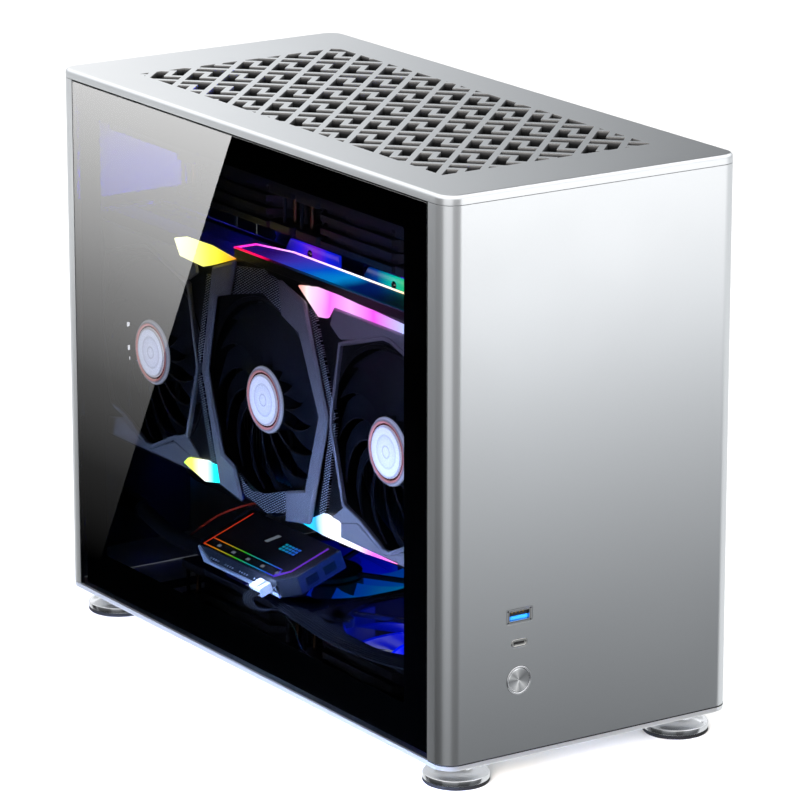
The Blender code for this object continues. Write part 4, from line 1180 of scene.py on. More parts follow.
@finish
def lit_blades(place, x, y):
    """Milky polycarbonate with light fed in from the hub: deep blue, and cyan where the diodes are near."""
    strength = {"front": 3.0, "rear": 0.5}[place]
    made, tree, shader = principled(f"lit_blades_{place}", Roughness=0.3)
    shader.inputs["Base Color"].default_value = linear("#10131c")
    look = bpy.context.scene.tower_finishes
    shader.inputs["Emission Strength"].default_value = strength * look.glow
    spot = node(tree, "TexCoord").outputs["Object"]
    drawn = node(tree, "Mapping", {"Location": (-x, -y, 0.0), "Scale": (1, 1, 0)}, {"Vector": spot}).outputs[0]
    settings = {"operation": "DOT_PRODUCT", 1: (0.35, -0.94, 0.0)}
    spread = node(tree, "VectorMath", settings, {0: drawn}).outputs["Value"]
    run = node(tree, "MapRange", {"From Min": -0.06, "From Max": 0.055}, {"Value": spread}).outputs[0]
    stops = [(0.0, "#000430"), (0.3, "#0008a0"), (0.55, "#0018ff"), (0.75, "#0070ff"), (1.0, "#00d0ff")]
    colour = node(tree, "ValToRGB", (), {0: run}, stops).outputs[0]
    tree.links.new(colour, shader.inputs["Emission Color"])
    return made


# Graphics card


def card_point(y, z):
    """A place on the card's face, from its middle fan and its lower edge, in millimetres."""
    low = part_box("gpu_shroud")[0]
    return (middle("gpu_fan_rotor_middle").y + y * MM, low.z + z * MM)


# How far a raised outline leans forward and up for each millimetre that it stands out
LEAN = (1.7, 0.55)


def card_plate(points, low, high, holes=()):
    """A plate on the card's face. low and high are millimetres in front of the card's front face."""
    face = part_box("gpu_shroud")[0].x
    rise = max(high, 0.0)
    outline = [card_point(y - LEAN[0] * rise, z + LEAN[1] * rise) for y, z in points]
    cut = [[card_point(y - LEAN[0] * rise, z + LEAN[1] * rise) for y, z in hole] for hole in holes]
    return plate(outline, "X", face - high * MM, face - low * MM, cut)


def mirrored(points):
    return [(-y, z) for y, z in reversed(points)]


# Outlines on the card's face: millimetres from its middle fan and its lower edge
REAR_BRACKET = [
    (27, 131), (50, 123), (62, 63), (44, 2), (22, -2), (30, 16), (42, 20), (57, 63), (47, 107), (33, 111),
]
FRONT_BRACKET = [
    (-17, 130), (-42, 123), (-64, 64), (-46, 2), (-23, -2), (-23, 15), (-42, 20), (-56, 64), (-37, 105),
    (-20, 111),
]
TOP_INSERT = [(28, 128), (0, 132), (-18, 128), (-21, 111), (0, 119), (34, 111)]
LOW_INSERT = [(31, 15), (14, 6), (0, 7.5), (-24, 15), (-24, 3), (-2, -3), (14, 1), (24, 2)]
SIDE_STRIPS = [
    [(52, 117), (56.5, 118), (68.5, 66), (64, 66)], [(64, 60), (68.5, 60), (52, 4), (47.5, 6)],
    [(-46, 120), (-51, 122), (-72, 66), (-66, 64)], [(-66, 62), (-72, 64), (-60, 4), (-54, 6)],
]
FAN_OPENING = [
    (-68, 63), (-77, 107), (-88, 110), (-117, 119), (-123, 119), (-152, 110), (-163, 107), (-172, 63),
    (-160, 22), (-144, 17), (-123, 7), (-117, 7), (-96, 17), (-80, 22),
]
TOP_PLATE = [(-70, 126), (-66, 116), (-76, 110), (-88, 112), (-117, 121), (-123, 121), (-152, 112), (-166, 110),
             (-170, 126)]
LOW_PLATE = [(-76, 2), (-76, 11), (-92, 15), (-119, 4.5), (-138, 10), (-148, 15), (-166, 12), (-166, 2)]
LOW_FACET = [(-66, 11), (-79, 20), (-96, 15.5), (-90, 12), (-76, 10)]
YELLOW_LIGHT = [(90, 131), (78, 134), (52, 134.5), (27, 132), (50, 124), (60, 121), (84, 122)]
PINK_LIGHT = [
    (-36, 131), (-55, 134), (-75, 134), (-140, 131), (-138, 126.5), (-70, 126.5), (-64, 119), (-56, 118)
]
GREEN_LIGHT = [(83, 5), (78, 9), (58, 12), (46, 12), (42, 3), (60, -0.5)]
CYAN_LIGHT = [(-38, 1), (-60, 12), (-75, 11), (-76, 3), (-130, 2), (-100, 0), (-60, -0.5)]


def bar_round(points, centre, width):
    """A closed band of even width just outside an outline."""
    outer = []
    for y, z in points:
        away = Vector((y - centre[0], z - centre[1]))
        outer.append(tuple(Vector((y, z)) + away.normalized() * width))
    return outer


def make_card_shroud():
    low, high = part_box("gpu_shroud")
    hubs = [middle(f"gpu_fan_rotor_{place}") for place in ("front", "middle", "rear")]
    ends = card_point(0, 0)
    front = (low.y - ends[0]) / MM
    rear = (high.y - ends[0]) / MM
    tall = (high.z - low.z) / MM
    outline = [
        (front, 12), (front + 12, 0), (rear - 12, 0), (rear, 12), (rear, tall - 13), (rear - 12, tall),
        (front + 12, tall), (front, tall - 13),
    ]
    holes = [ring_of(((hub.y - ends[0]) / MM, (hub.z - ends[1]) / MM), 56.0, 96) for hub in hubs]
    deep = (high.x - low.x) / MM
    base = soften(card_plate(outline, -deep, -2.4, holes), 0.6 * MM, 2, 50)
    wells = []
    for hub in hubs:
        wall = [
            (53.6 * MM, -2.6 * MM), (55.8 * MM, -2.2 * MM), (55.8 * MM, -deep * MM + 0.4 * MM),
            (54.8 * MM, -deep * MM + 0.4 * MM), (54.6 * MM, -4.2 * MM),
        ]
        wells.append(turned(wall, (low.x, hub.y, hub.z), "-X", 96, True))
        struts = [
            rod(
                (low.x + (deep - 2.0) * MM, hub.y + 17 * MM * math.cos(turn), hub.z + 17 * MM * math.sin(turn)),
                (low.x + (deep - 2.0) * MM, hub.y + 56 * MM * math.cos(turn), hub.z + 56 * MM * math.sin(turn)),
                1.6 * MM, 8,
            )
            for turn in (math.radians(20 + 120 * number) for number in range(3))
        ]
        wells += struts
        wells.append(
            rod((low.x + (deep - 3.2) * MM, hub.y, hub.z), (low.x + deep * MM, hub.y, hub.z), 18 * MM, 48)
        )
    piece(
        "card_shroud_base", joined([base, *wells]), "case", [shroud_black()],
        ["gpu_shroud"],
    )
    for name, points in (("rear", REAR_BRACKET), ("front", FRONT_BRACKET)):
        foot = soften(card_plate(points, -2.6, 0.0), 0.6 * MM, 1, 30)
        raised = soften(card_plate(points, -1.0, 2.2), 1.3 * MM, 1, 30)
        piece(f"card_bracket_{name}", joined([foot, soften(raised, 0.15 * MM, 1, 20)]), "case",
              [gunmetal_paint()], (), 20)
    inserts = [soften(card_plate(points, -3.0, -1.2), 0.3 * MM, 2) for points in (TOP_INSERT, LOW_INSERT)]
    strips = [soften(card_plate(points, -3.0, -0.9), 0.3 * MM, 2) for points in SIDE_STRIPS]
    piece("card_woven_inserts", joined(inserts + strips), "case", [woven_insert()])
    centres = {"front": (-120, 63), "rear": (120, 63)}
    for name, turn in (("front", lambda points: points), ("rear", mirrored)):
        opening = turn(FAN_OPENING)
        outer = bar_round(opening, centres[name], 2.4)
        ring = soften(card_plate(outer, -2.6, 0.2, [opening]), 0.5 * MM, 1, 30)
        plates = [
            soften(card_plate(turn(points), -2.6, -0.6), 0.9 * MM, 1, 30) for points in (TOP_PLATE, LOW_PLATE)
        ]
        facet = soften(card_plate(turn(LOW_FACET), -2.6, -1.2), 0.4 * MM, 1, 30)
        piece(f"card_frame_{name}", joined([ring, *plates, facet]), "case",
              [gunmetal_paint()], (), 20)


def make_card_lights():
    """Four lit corner lenses on the face and the lit bar on the card's upper edge."""
    origin = card_point(0, 0)[0]
    lenses = {
        "yellow": (
            YELLOW_LIGHT, 3.0, (90, 27),
            [(0.0, "#ffffc0"), (0.35, "#fffa90"), (0.6, "#fff050"), (0.8, "#ffd828"), (1.0, "#ffa010")],
        ),
        "pink": (
            PINK_LIGHT, 2.8, (-36, -140),
            [(0.0, "#ff8060"), (0.1, "#ffe8e0"), (0.3, "#ff70f0"), (0.5, "#ffb0ff"), (0.7, "#f050e0"),
             (1.0, "#b0d0ff")],
        ),
        "green": (
            GREEN_LIGHT, 4.0, (83, 42),
            [(0.0, "#b8ff50"), (0.25, "#f4ff60"), (0.55, "#fffff0"), (0.8, "#20ffff"), (1.0, "#00e0ff")],
        ),
        "cyan": (
            CYAN_LIGHT, 4.0, (-38, -130),
            [(0.0, "#00d8ff"), (0.18, "#30a0ff"), (0.3, "#ffffff"), (0.5, "#ffffff"), (0.75, "#e060ff"),
             (1.0, "#ff80c0")],
        ),
    }
    for name, (points, strength, ends, stops) in lenses.items():
        finish_made = light_guide(
            f"lens_{name}", strength, "Y", origin + ends[0] * MM, origin + ends[1] * MM, tuple(stops)
        )
        shape = soften(card_plate(points, -2.4, -0.2), 0.7 * MM, 2, 30)
        piece(f"card_lens_{name}", shape, "case", [finish_made])
    low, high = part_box("gpu_light_bar")
    rear, front, near, far, top = high.y, low.y, low.x, high.x, high.z + 3 * MM
    cut = 12 * MM
    outline = [(near, front), (far, front), (far, rear - 2.3 * cut), (near + 14 * MM, rear), (near, rear)]
    base = soften(plate(outline, "Z", low.z, top - 0.5 * MM), 0.3 * MM, 1)
    band = 2.0 * MM
    panel = [
        (near + band, front + band), (far - band, front + band),
        (far - band, rear - 2.3 * cut - 0.5 * MM), (near + 12.5 * MM, rear - band * 1.6),
        (near + band, rear - band * 1.6),
    ]
    face = plate(panel, "Z", top - 0.6 * MM, top - 0.15 * MM)
    edge_near = plate([(near, front), (near + band * 0.8, front), (near + band * 0.8, rear), (near, rear)], "Z",
                      top - 0.6 * MM, top)
    edge_far = plate(
        [
            (far - band * 0.8, front), (far, front), (far, rear - 2.3 * cut),
            (far - band * 0.8, rear - 2.3 * cut),
        ],
        "Z", top - 0.6 * MM, top,
    )
    slope = plate(
        [(far, rear - 2.3 * cut), (near + 14 * MM, rear), (near, rear), (near, rear - band), (
            near + 13 * MM, rear - band
        ),
         (far - band * 0.9, rear - 2.3 * cut)],
        "Z", top - 0.6 * MM, top,
    )
    panel_light = light_guide(
        "bar_panel", 1.9, "Y", rear, front,
        ((0.0, "#14042a"), (0.12, "#2a0a60"), (0.25, "#4030b0"), (0.38, "#0050d0"), (0.5, "#0090d8"),
         (0.62, "#001c60"), (0.8, "#020514"), (1.0, "#020308")),
    )
    near_light = light_guide(
        "bar_near_edge", 3.0, "Y", rear, front,
        (
            (0.0, "#ff0030"), (0.14, "#ff0050"), (0.2, "#300010"), (0.3, "#100820"), (0.5, "#003050"),
            (1.0, "#05060a"),
        ),
    )
    far_light = light_guide(
        "bar_far_edge", 4.0, "Y", rear, front,
        ((0.0, "#ff60ff"), (0.25, "#ffb0ff"), (0.5, "#ffffff"), (0.75, "#ffd0a0"), (1.0, "#ffe000")),
    )
    slope_light = light_guide(
        "bar_rear_edge", 4.0, "Y", rear, rear - 30 * MM, ((0.0, "#ff2090"), (0.4, "#ff70ff"), (1.0, "#ffc0ff"))
    )
    shapes = [base, painted(face, 1), painted(edge_near, 2), painted(edge_far, 3), painted(slope, 4)]
    piece(
        "card_light_bar", joined(shapes), "case",
        [shroud_black(), panel_light, near_light, far_light, slope_light], ["gpu_light_bar"],
    )


def make_card_back():
    """Cooling fins, circuit board, backplate with lit corner tabs, and the slot bracket."""
    low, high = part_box("gpu_heatsink")
    count = 110
    fins = []
    for number in range(count):
        y = low.y + (high.y - low.y - 0.5 * MM) * number / (count - 1)
        fins.append(block((low.x, y, low.z), (high.x, y + 0.5 * MM, high.z)))
    core = block(
        (high.x - 3 * MM, low.y + 1 * MM, low.z + 1 * MM), (high.x - 0.2 * MM, high.y - 1 * MM, high.z - 1 * MM)
    )
    copper = plated_metal("copper_pipe", "#b87352")
    pipes = [
        painted(rod((low.x + 9 * MM, low.y - 1 * MM, z), (low.x + 9 * MM, high.y + 1 * MM, z), 3 * MM, 20), 1)
        for z in (low.z + (high.z - low.z) * share for share in (0.2, 0.4, 0.6, 0.8))
    ]
    piece("card_fin_stack", joined([*fins, core, *pipes]), "case",
          [fin_aluminium(), copper], ["gpu_heatsink"])
    low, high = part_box("gpu_circuit_board")
    chips = [soften(copied("gpu_circuit_board"), 0.1 * MM, 1)]
    for number in range(18):
        y = low.y + 12 * MM + number * 15.5 * MM
        chip = block((high.x, y, high.z - 9 * MM), (high.x + 0.15 * MM, y + 7 * MM, high.z - 3 * MM))
        chips.append(painted(chip, 1))
    gold = plated_metal("gold_contacts", "#d9a441")
    piece("card_board", joined(chips), "case", [circuit_board(), gold], ["gpu_circuit_board"])
    shape = soften(copied("gpu_backplate"), 0.35 * MM, 2)
    low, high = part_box("gpu_backplate")
    screws = [
        painted(screw_head((high.x, y, z), "X", 2.4 * MM, 0.9 * MM), 1)
        for y in (low.y + 45 * MM, low.y + 120 * MM, low.y + 200 * MM, high.y - 20 * MM)
        for z in (low.z + 12 * MM, high.z - 12 * MM)
    ]
    piece("card_backplate", joined([shape, *screws]), "case",
          [anodised_black(), tinned_steel()], ["gpu_backplate"])
    tabs = (
        (
            "blue", 22, -34,
            ((0.0, "#0a0040"), (0.35, "#3020ff"), (0.6, "#8020e0"), (0.8, "#1020ff"), (1.0, "#0a20d0")),
        ),
        (
            "green", -54, -120,
            ((0.0, "#00142e"), (0.25, "#0040a0"), (0.5, "#00e0c0"), (0.75, "#40e040"), (1.0, "#ffff00")),
        ),
    )
    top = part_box("gpu_light_bar")[1].z
    for name, start, end, stops in tabs:
        y_start, y_end = card_point(start, 0)[0], card_point(end, 0)[0]
        made = light_guide(f"tab_{name}", 1.6, "Y", y_start, y_end, stops)
        outline = [
            (y_start, top - 4 * MM), (y_start - 8 * MM, top + 7 * MM), (y_end, top + 7 * MM),
            (y_end, top - 4 * MM),
        ]
        shape = soften(plate(outline, "X", -52.5 * MM, -50.5 * MM), 0.5 * MM, 2)
        head = painted(
            screw_head((-52.5 * MM, (y_start + y_end) / 2, top + 2.5 * MM), "-X", 2.2 * MM, 0.9 * MM), 1
        )
        piece(f"card_lit_tab_{name}", joined([shape, head]), "case", [made, tinned_steel()])
    low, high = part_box("gpu_slot_bracket")
    shape = soften(copied("gpu_slot_bracket"), 0.2 * MM, 1)
    dark = black_connector()
    sockets = []
    for number in range(3):
        z = high.z - 14 * MM - number * 18 * MM
        outline = rounded((-66 * MM, z - 8.5 * MM), (-60.5 * MM, z + 8.5 * MM), 1.2 * MM)
        inner = rounded((-65.3 * MM, z - 7.8 * MM), (-61.2 * MM, z + 7.8 * MM), 0.8 * MM)
        sockets.append(painted(plate(outline, "Y", high.y - 0.1 * MM, high.y + 0.9 * MM, [inner]), 0))
        sockets.append(painted(plate(inner, "Y", high.y - 0.1 * MM, high.y + 0.2 * MM), 1))
    piece("card_slot_bracket", joined([shape, *sockets]), "case",
          [anodised_black(), dark], ["gpu_slot_bracket"])
    shape = soften(copied("riser_ribbon"), 0.25 * MM, 1)
    piece("riser_cable", shape, "case", [ribbon_black()], ["riser_ribbon"])


@finish
def ribbon_black():
    """A shielded ribbon of parallel wires under black tape, 1.3 mm apart."""
    made, tree, shader = principled("ribbon_black", Roughness=0.5)
    shader.inputs["Base Color"].default_value = linear("#0c0d0f")
    place = node(tree, "TexCoord").outputs["Object"]
    lines = node(
        tree, "TexWave", {"bands_direction": "Y", "Scale": 0.05 / (1.3 * MM) * math.tau}, {"Vector": place}
    ).outputs[1]
    bump = node(tree, "Bump", {"Distance": 0.6 * MM}, {"Height": lines}).outputs[0]
    tree.links.new(bump, shader.inputs["Normal"])
    return made


# Motherboard


def make_motherboard():
    low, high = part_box("motherboard")
    board_high = high.x
    face = board_high - 1.6 * MM
    board = soften(copied("motherboard"), 0.12 * MM, 1)
    draw = random.Random(7)
    dark = black_connector()
    grey = coloured_plastic("grey_part", "#6b6e73")
    tin = tinned_steel()
    parts = []
    for number in range(70):
        y = draw.uniform(low.y + 8 * MM, high.y - 34 * MM)
        z = draw.uniform(low.z + 8 * MM, high.z - 24 * MM)
        wide = draw.uniform(1.2, 4.5) * MM
        tall = draw.uniform(1.0, 3.5) * MM
        thick = draw.uniform(0.6, 1.4) * MM
        chip = block((face - thick, y, z), (face + 0.1 * MM, y + wide, z + tall))
        parts.append(painted(chip, draw.choice((1, 1, 2))))
    for number in range(9):
        z = low.z + 42 * MM + number * 10.5 * MM
        coil = soften(
            block((face - 6 * MM, high.y - 44 * MM, z), (face, high.y - 36.5 * MM, z + 8 * MM)), 0.6 * MM
        )
        parts.append(painted(coil, 2))
        parts.append(painted(rod((face - 9 * MM, high.y - 50 * MM, z + 4 * MM), (
            face, high.y - 50 * MM, z + 4 * MM
        ),
                                 2.6 * MM, 14), 3))
    piece("motherboard_detail", joined([board, *parts]), "case",
          [circuit_board(), dark, grey, tin], ["motherboard"])
    shape = soften(copied("motherboard_tray"), 0.2 * MM, 1)
    piece("board_tray", shape, "case", [powder_coated_steel()], ["motherboard_tray"])
    glow = light_guide("memory_glow", 1.2, "Z", 0.116, 0.249,
                       ((0.0, "#1030ff"), (0.4, "#0010ff"), (0.7, "#5020ff"), (1.0, "#a020ff")))
    for number in (1, 2):
        name = f"memory_module_{number}"
        low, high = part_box(name)
        body = soften(block((low.x + 5 * MM, low.y, low.z), high), 0.5 * MM)
        bar = soften(
            block(
                (low.x, low.y + 0.7 * MM, low.z + 2 * MM),
                (low.x + 5.5 * MM, high.y - 0.7 * MM, high.z - 2 * MM),
            ),
            0.6 * MM,
        )
        ribs = [
            block((low.x + 10 * MM, low.y - 0.35 * MM, z), (high.x - 4 * MM, high.y + 0.35 * MM, z + 1.4 * MM))
            for z in (low.z + (18 + 12 * step) * MM for step in range(9))
        ]
        piece(f"memory_stick_{number}", joined([body, painted(bar, 1), *ribs]), "case",
              [anodised_black(), glow], [name])
    low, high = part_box("cooler_heatsink")
    fins = []
    for number in range(40):
        y = low.y + (high.y - low.y - 0.5 * MM) * number / 39
        fins.append(block((low.x, y, low.z), (low.x + 22 * MM, y + 0.5 * MM, high.z)))
    copper = plated_metal("copper_pipe", "#b87352")
    plate_block = block((low.x + 21.5 * MM, low.y, low.z), (low.x + 25 * MM, high.y, high.z))
    plate_block = soften(plate_block, 0.3 * MM)
    mid = (low + high) / 2
    half = 19 * MM
    stub = block((low.x + 24 * MM, mid.y - half, mid.z - half), (high.x, mid.y + half, mid.z + half))
    stub = painted(stub, 1)
    piece("cooler_fins", joined([*fins, plate_block, stub]), "case",
          [fin_aluminium(), copper], ["cooler_heatsink"])
    low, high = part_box("cooler_fan_frame")
    deep = high.x - low.x
    size = high.y - low.y
    centre = Vector((low.x, (low.y + high.y) / 2, (low.z + high.z) / 2))
    shapes = fan_housing(size, deep, 43.5 * MM, 16 * MM) + fan_struts(43.5 * MM, 16 * MM, deep)
    piece("cooler_fan_housing", facing(joined(shapes), "X", centre), "case",
          [moulded_black()], ["cooler_fan_frame"], 40)
    small_rotor("cooler_fan_rotor", "cooler_fan_blades", "cooler_fan", 16.5 * MM)


def small_rotor(name, made, body, hub):
    """A rotor about X: a hub and seven blades."""
    low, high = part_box(name)
    deep = high.x - low.x
    tip = (high.y - low.y) / 2
    profile = [(0.0, deep), (hub - 1 * MM, deep), (hub, deep - 1 * MM), (hub, 0.0), (0.0, 0.0)]
    blades = fan_blades(7, hub - 0.5 * MM, tip, 0.8 * MM, deep - 0.8 * MM, 22, 1.0 * MM)
    shape = joined([*blades, turned(profile, (0, 0, 0), "Z", 48)])
    centre = Vector((low.x, (low.y + high.y) / 2, (low.z + high.z) / 2))
    piece(made, facing(shape, "X", centre), body, [fan_blade_black()], [name], 45)


def make_rear_ports():
    """Connector block, its steel plate, the mains socket and the screws on the rear wall."""
    blue = coloured_plastic("blue_connector", "#1f8dff")
    gold = plated_metal("gold_contacts", "#d9a441")
    dark = black_connector()
    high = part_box("rear_port_stack")[1]
    shapes = [soften(copied("rear_port_stack"), 0.15 * MM, 1)]
    for z in (0.1240, 0.1400, 0.1900, 0.2060):
        for x in (0.0420, 0.0560):
            tongue = block(
                (x - 1.0 * MM, high.y - 9 * MM, z - 5 * MM), (x + 0.6 * MM, high.y - 1 * MM, z + 5 * MM)
            )
            shapes.append(painted(tongue, 1))
    jack = ("#3fae4d", "#c0486c", "#3f7fd0")
    for number, x in enumerate((0.0400, 0.0490, 0.0580)):
        ring = [
            (1.9 * MM, 0.0), (3.2 * MM, 0.0), (3.4 * MM, -0.4 * MM), (3.4 * MM, -1.0 * MM),
            (1.9 * MM, -1.0 * MM),
        ]
        shape = turned([(r, h + 1.0 * MM) for r, h in ring], (x, high.y - 0.6 * MM, 0.2460), "Y", 32, True)
        shapes.append(painted(shape, 3 + number))
    finishes = [tinned_steel(), blue, gold] + [
        coloured_plastic(f"jack_{number}", colour) for number, colour in enumerate(jack)
    ]
    piece("rear_connectors", joined(shapes), "case", finishes, ["rear_port_stack"])
    shape = soften(copied("io_shield"), 0.1 * MM, 1)
    piece("rear_shield", shape, "case", [tinned_steel()], ["io_shield"])
    low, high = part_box("mains_inlet")
    shape = soften(copied("mains_inlet"), 0.25 * MM, 2)
    piece("mains_socket", shape, "case", [dark], ["mains_inlet"])
    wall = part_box("rear_panel")[1].y
    inlet = middle("mains_inlet")
    spots = [(inlet.x - 16.6 * MM, inlet.z), (inlet.x + 16.6 * MM, inlet.z)]
    spots += [(-78 * MM, 0.236), (-57 * MM, 0.236), (0.0, 0.302), (-82 * MM, 0.302), (82 * MM, 0.302)]
    spots += [(-82 * MM, 0.024), (82 * MM, 0.024), (0.0, 0.024)]
    heads = [screw_head((x, wall - 0.1 * MM, z), "Y", 2.6 * MM, 1.3 * MM) for x, z in spots]
    piece("rear_screws", joined(heads), "case", [plated_metal("black_zinc", "#3a3b3f")])
    heads = [
        screw_head(
            (sx * 60 * MM, sy * 150 * MM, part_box("base_plate")[0].z + 0.1 * MM), "Z", 2.6 * MM, -1.0 * MM
        )
        for sx in (-1, 1)
        for sy in (-1, 1)
    ]
    for head in heads:
        closed(head)
    piece("base_screws", joined(heads), "case", [plated_metal("black_zinc", "#3a3b3f")])


@finish
def dust_mesh():
    """Woven nylon dust filter, 0.6 mm between its threads."""
    made, tree, shader = principled("dust_mesh", Roughness=0.6)
    parts = node(tree, "SeparateXYZ", (), {0: node(tree, "TexCoord").outputs["Object"]}).outputs
    waves = []
    for part in (parts[0], parts[2]):
        phase = node(tree, "Math", {"operation": "MULTIPLY", 1: math.tau / (0.6 * MM)}, {0: part}).outputs[0]
        waves.append(node(tree, "Math", {"operation": "SINE"}, {0: phase}).outputs[0])
    height = node(tree, "Math", {"operation": "MAXIMUM"}, {0: waves[0], 1: waves[1]}).outputs[0]
    colour = node(tree, "ValToRGB", (), {0: height}, [(0.0, "#0b0b0d"), (1.0, "#2c2c31")]).outputs[0]
    tree.links.new(colour, shader.inputs["Base Color"])
    bump = node(tree, "Bump", {"Distance": 0.2 * MM}, {"Height": height}).outputs[0]
    tree.links.new(bump, shader.inputs["Normal"])
    return made


def make_vent_filters():
    """Dust filters inside the two rear vents, the lower one round the loom."""
    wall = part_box("rear_panel")[1].y - 2.7 * MM
    loom = ring_of((LOOM_ROUTE[0][0], LOOM_ROUTE[0][2]), 4.4 * MM, 24)
    upper = plate(rounded((-83.5 * MM, 0.2385), (-12 * MM, 0.2990), 1 * MM), "Y", wall - 0.8 * MM, wall)
    lower = plate(rounded((-83.5 * MM, 0.0320), (-12 * MM, 0.1120), 1 * MM), "Y", wall - 0.8 * MM, wall, [loom])
    piece("vent_filters", joined([upper, lower]), "case", [dust_mesh()])


def make_inner_steel():
    """Roof rails and the bracket that carries the power supply."""
    for name in ("roof_rail_left", "roof_rail_right", "psu_bracket"):
        shape = soften(copied(name), 0.3 * MM, 2)
        piece(f"{name}_pressing", shape, "case", [powder_coated_steel()], [name])
    make_vent_filters()


def make_power_supply():
    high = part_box("psu_case")[1]
    shape = soften(copied("psu_case"), 0.6 * MM, 2)
    centre = middle("psu_fan_rotor")
    grille = []
    for radius in (12, 20, 28, 36, 44):
        ring = ring_of((radius * MM, 0.0), 0.7 * MM, 8)
        grille.append(turned(ring, (high.x - 0.2 * MM, centre.y, centre.z), "X", 72, True))
    for turn in (45, 135, 225, 315):
        across = Vector((0.0, math.cos(math.radians(turn)), math.sin(math.radians(turn))))
        spot = Vector((high.x - 0.8 * MM, centre.y, centre.z))
        grille.append(rod(spot + across * 11 * MM, spot + across * 51 * MM, 0.8 * MM, 8))
    grille = [painted(part, 1) for part in grille]
    piece("power_supply_case", joined([shape, *grille]), "case",
          [powder_coated_steel(), tinned_steel()], ["psu_case"])
    small_rotor("psu_fan_rotor", "power_supply_blades", "psu_fan", 18 * MM)
    shape = soften(copied("psu_rocker_switch"), 0.25 * MM, 2)
    piece("power_supply_rocker", shape, "psu_rocker",
          [black_connector()], ["psu_rocker_switch"])


# Controller and cables


def controller_place(shape):
    """Moves a shape from the controller's own coordinates to where it lies, its far side raised."""
    return placed(shape, Matrix.Rotation(math.radians(-20), 3, "Y"), middle("controller_box"))


# Half the controller's size, the pitch of its five sockets and where the first one is, in its own frame
CONTROLLER_HALF = (20 * MM, 46 * MM, 5.75 * MM)
SOCKET_PITCH = 15
FIRST_SOCKET = CONTROLLER_HALF[1] - 17 * MM


def lid_mark(points):
    """A flat print on the controller's lid, from points in millimetres across it."""
    top = CONTROLLER_HALF[2]
    return plate([(x * MM, y * MM) for x, y in points], "Z", top - 0.2 * MM, top + 0.12 * MM)


def lid_bar(left, near, right, far):
    return lid_mark([(left, near), (right, near), (right, far), (left, far)])


def controller_shapes():
    """The box with its pale socket rail, its side sockets and its dark lid."""
    half_x, half_y, half_z = CONTROLLER_HALF
    outline = [
        (-half_x + 1.2 * MM, -half_y + 9 * MM), (-half_x + 9.5 * MM, -half_y), (half_x, -half_y),
        (half_x, half_y), (-half_x + 4 * MM, half_y), (-half_x + 1.2 * MM, half_y - 3 * MM),
    ]
    case = soften(plate(outline, "Z", -half_z, half_z), 0.7 * MM, 2)
    ports = []
    pins = []
    for number in range(5):
        y = FIRST_SOCKET - number * SOCKET_PITCH * MM
        ports.append(rounded((y - 5.8 * MM, -3.2 * MM), (y + 5.8 * MM, 2.8 * MM), 0.3 * MM, 1))
        for pin in range(4):
            place = Vector((-half_x + 1.4 * MM, y + (pin - 1.5) * 2.5 * MM, -0.2 * MM))
            pins.append(painted(rod(place, place - Vector((1.1 * MM, 0.0, 0.0)), 0.35 * MM, 6), 1))
    near, far, reach = -half_y + 9.5 * MM, half_y - 3.2 * MM, half_z - 0.3 * MM
    rail_outline = [(near, -reach), (far, -reach), (far, reach), (near, reach)]
    rail = soften(plate(rail_outline, "X", -half_x, -half_x + 1.3 * MM, ports), 0.2 * MM, 1)
    side_ports = [
        painted(block((x, -half_y - 0.25 * MM, -2.6 * MM), (x + 8 * MM, -half_y + 0.5 * MM, 2.4 * MM)), 2)
        for x in (-6 * MM, 6 * MM)
    ]
    lid = plate([(x * 0.94, y * 0.97) for x, y in outline], "Z", half_z - 0.3 * MM, half_z + 0.06 * MM)
    return [case, painted(rail, 1), painted(lid, 5), *pins, *side_ports]


def controller_print():
    """The lid's print: a coloured frame and swatches, with white dashes by each socket. It spells nothing."""
    coloured = [lid_bar(-17.2, -33, -16.4, 41), lid_bar(-10.6, -31, -9.9, 40), lid_bar(-17.2, 40.2, 17.5, 41)]
    coloured.append(
        lid_mark(
            [
                (-17.2, -33), (-9, -38.5), (17, -38.5), (17, -37), (-8.4, -37), (-13, -33), (-10.6, -31),
                (-17.2, -31),
            ],
        )
    )
    for row in range(3):
        for column in range(5):
            x, y = 2 + row * 2.2, -24 + column * 3.2
            coloured.append(lid_bar(x, y, x + 1.5, y + 2.4))
    white = [lid_mark([(3, 4), (11, 1), (11, 4.5), (3, 7.5)])]
    for number in range(5):
        y = 27.5 - number * 15
        white.append(soften(lid_bar(-14.8, y, -12.6, y + 3.2), 0.1 * MM, 1))
    return [painted(shape, 3) for shape in coloured] + [painted(shape, 4) for shape in white]


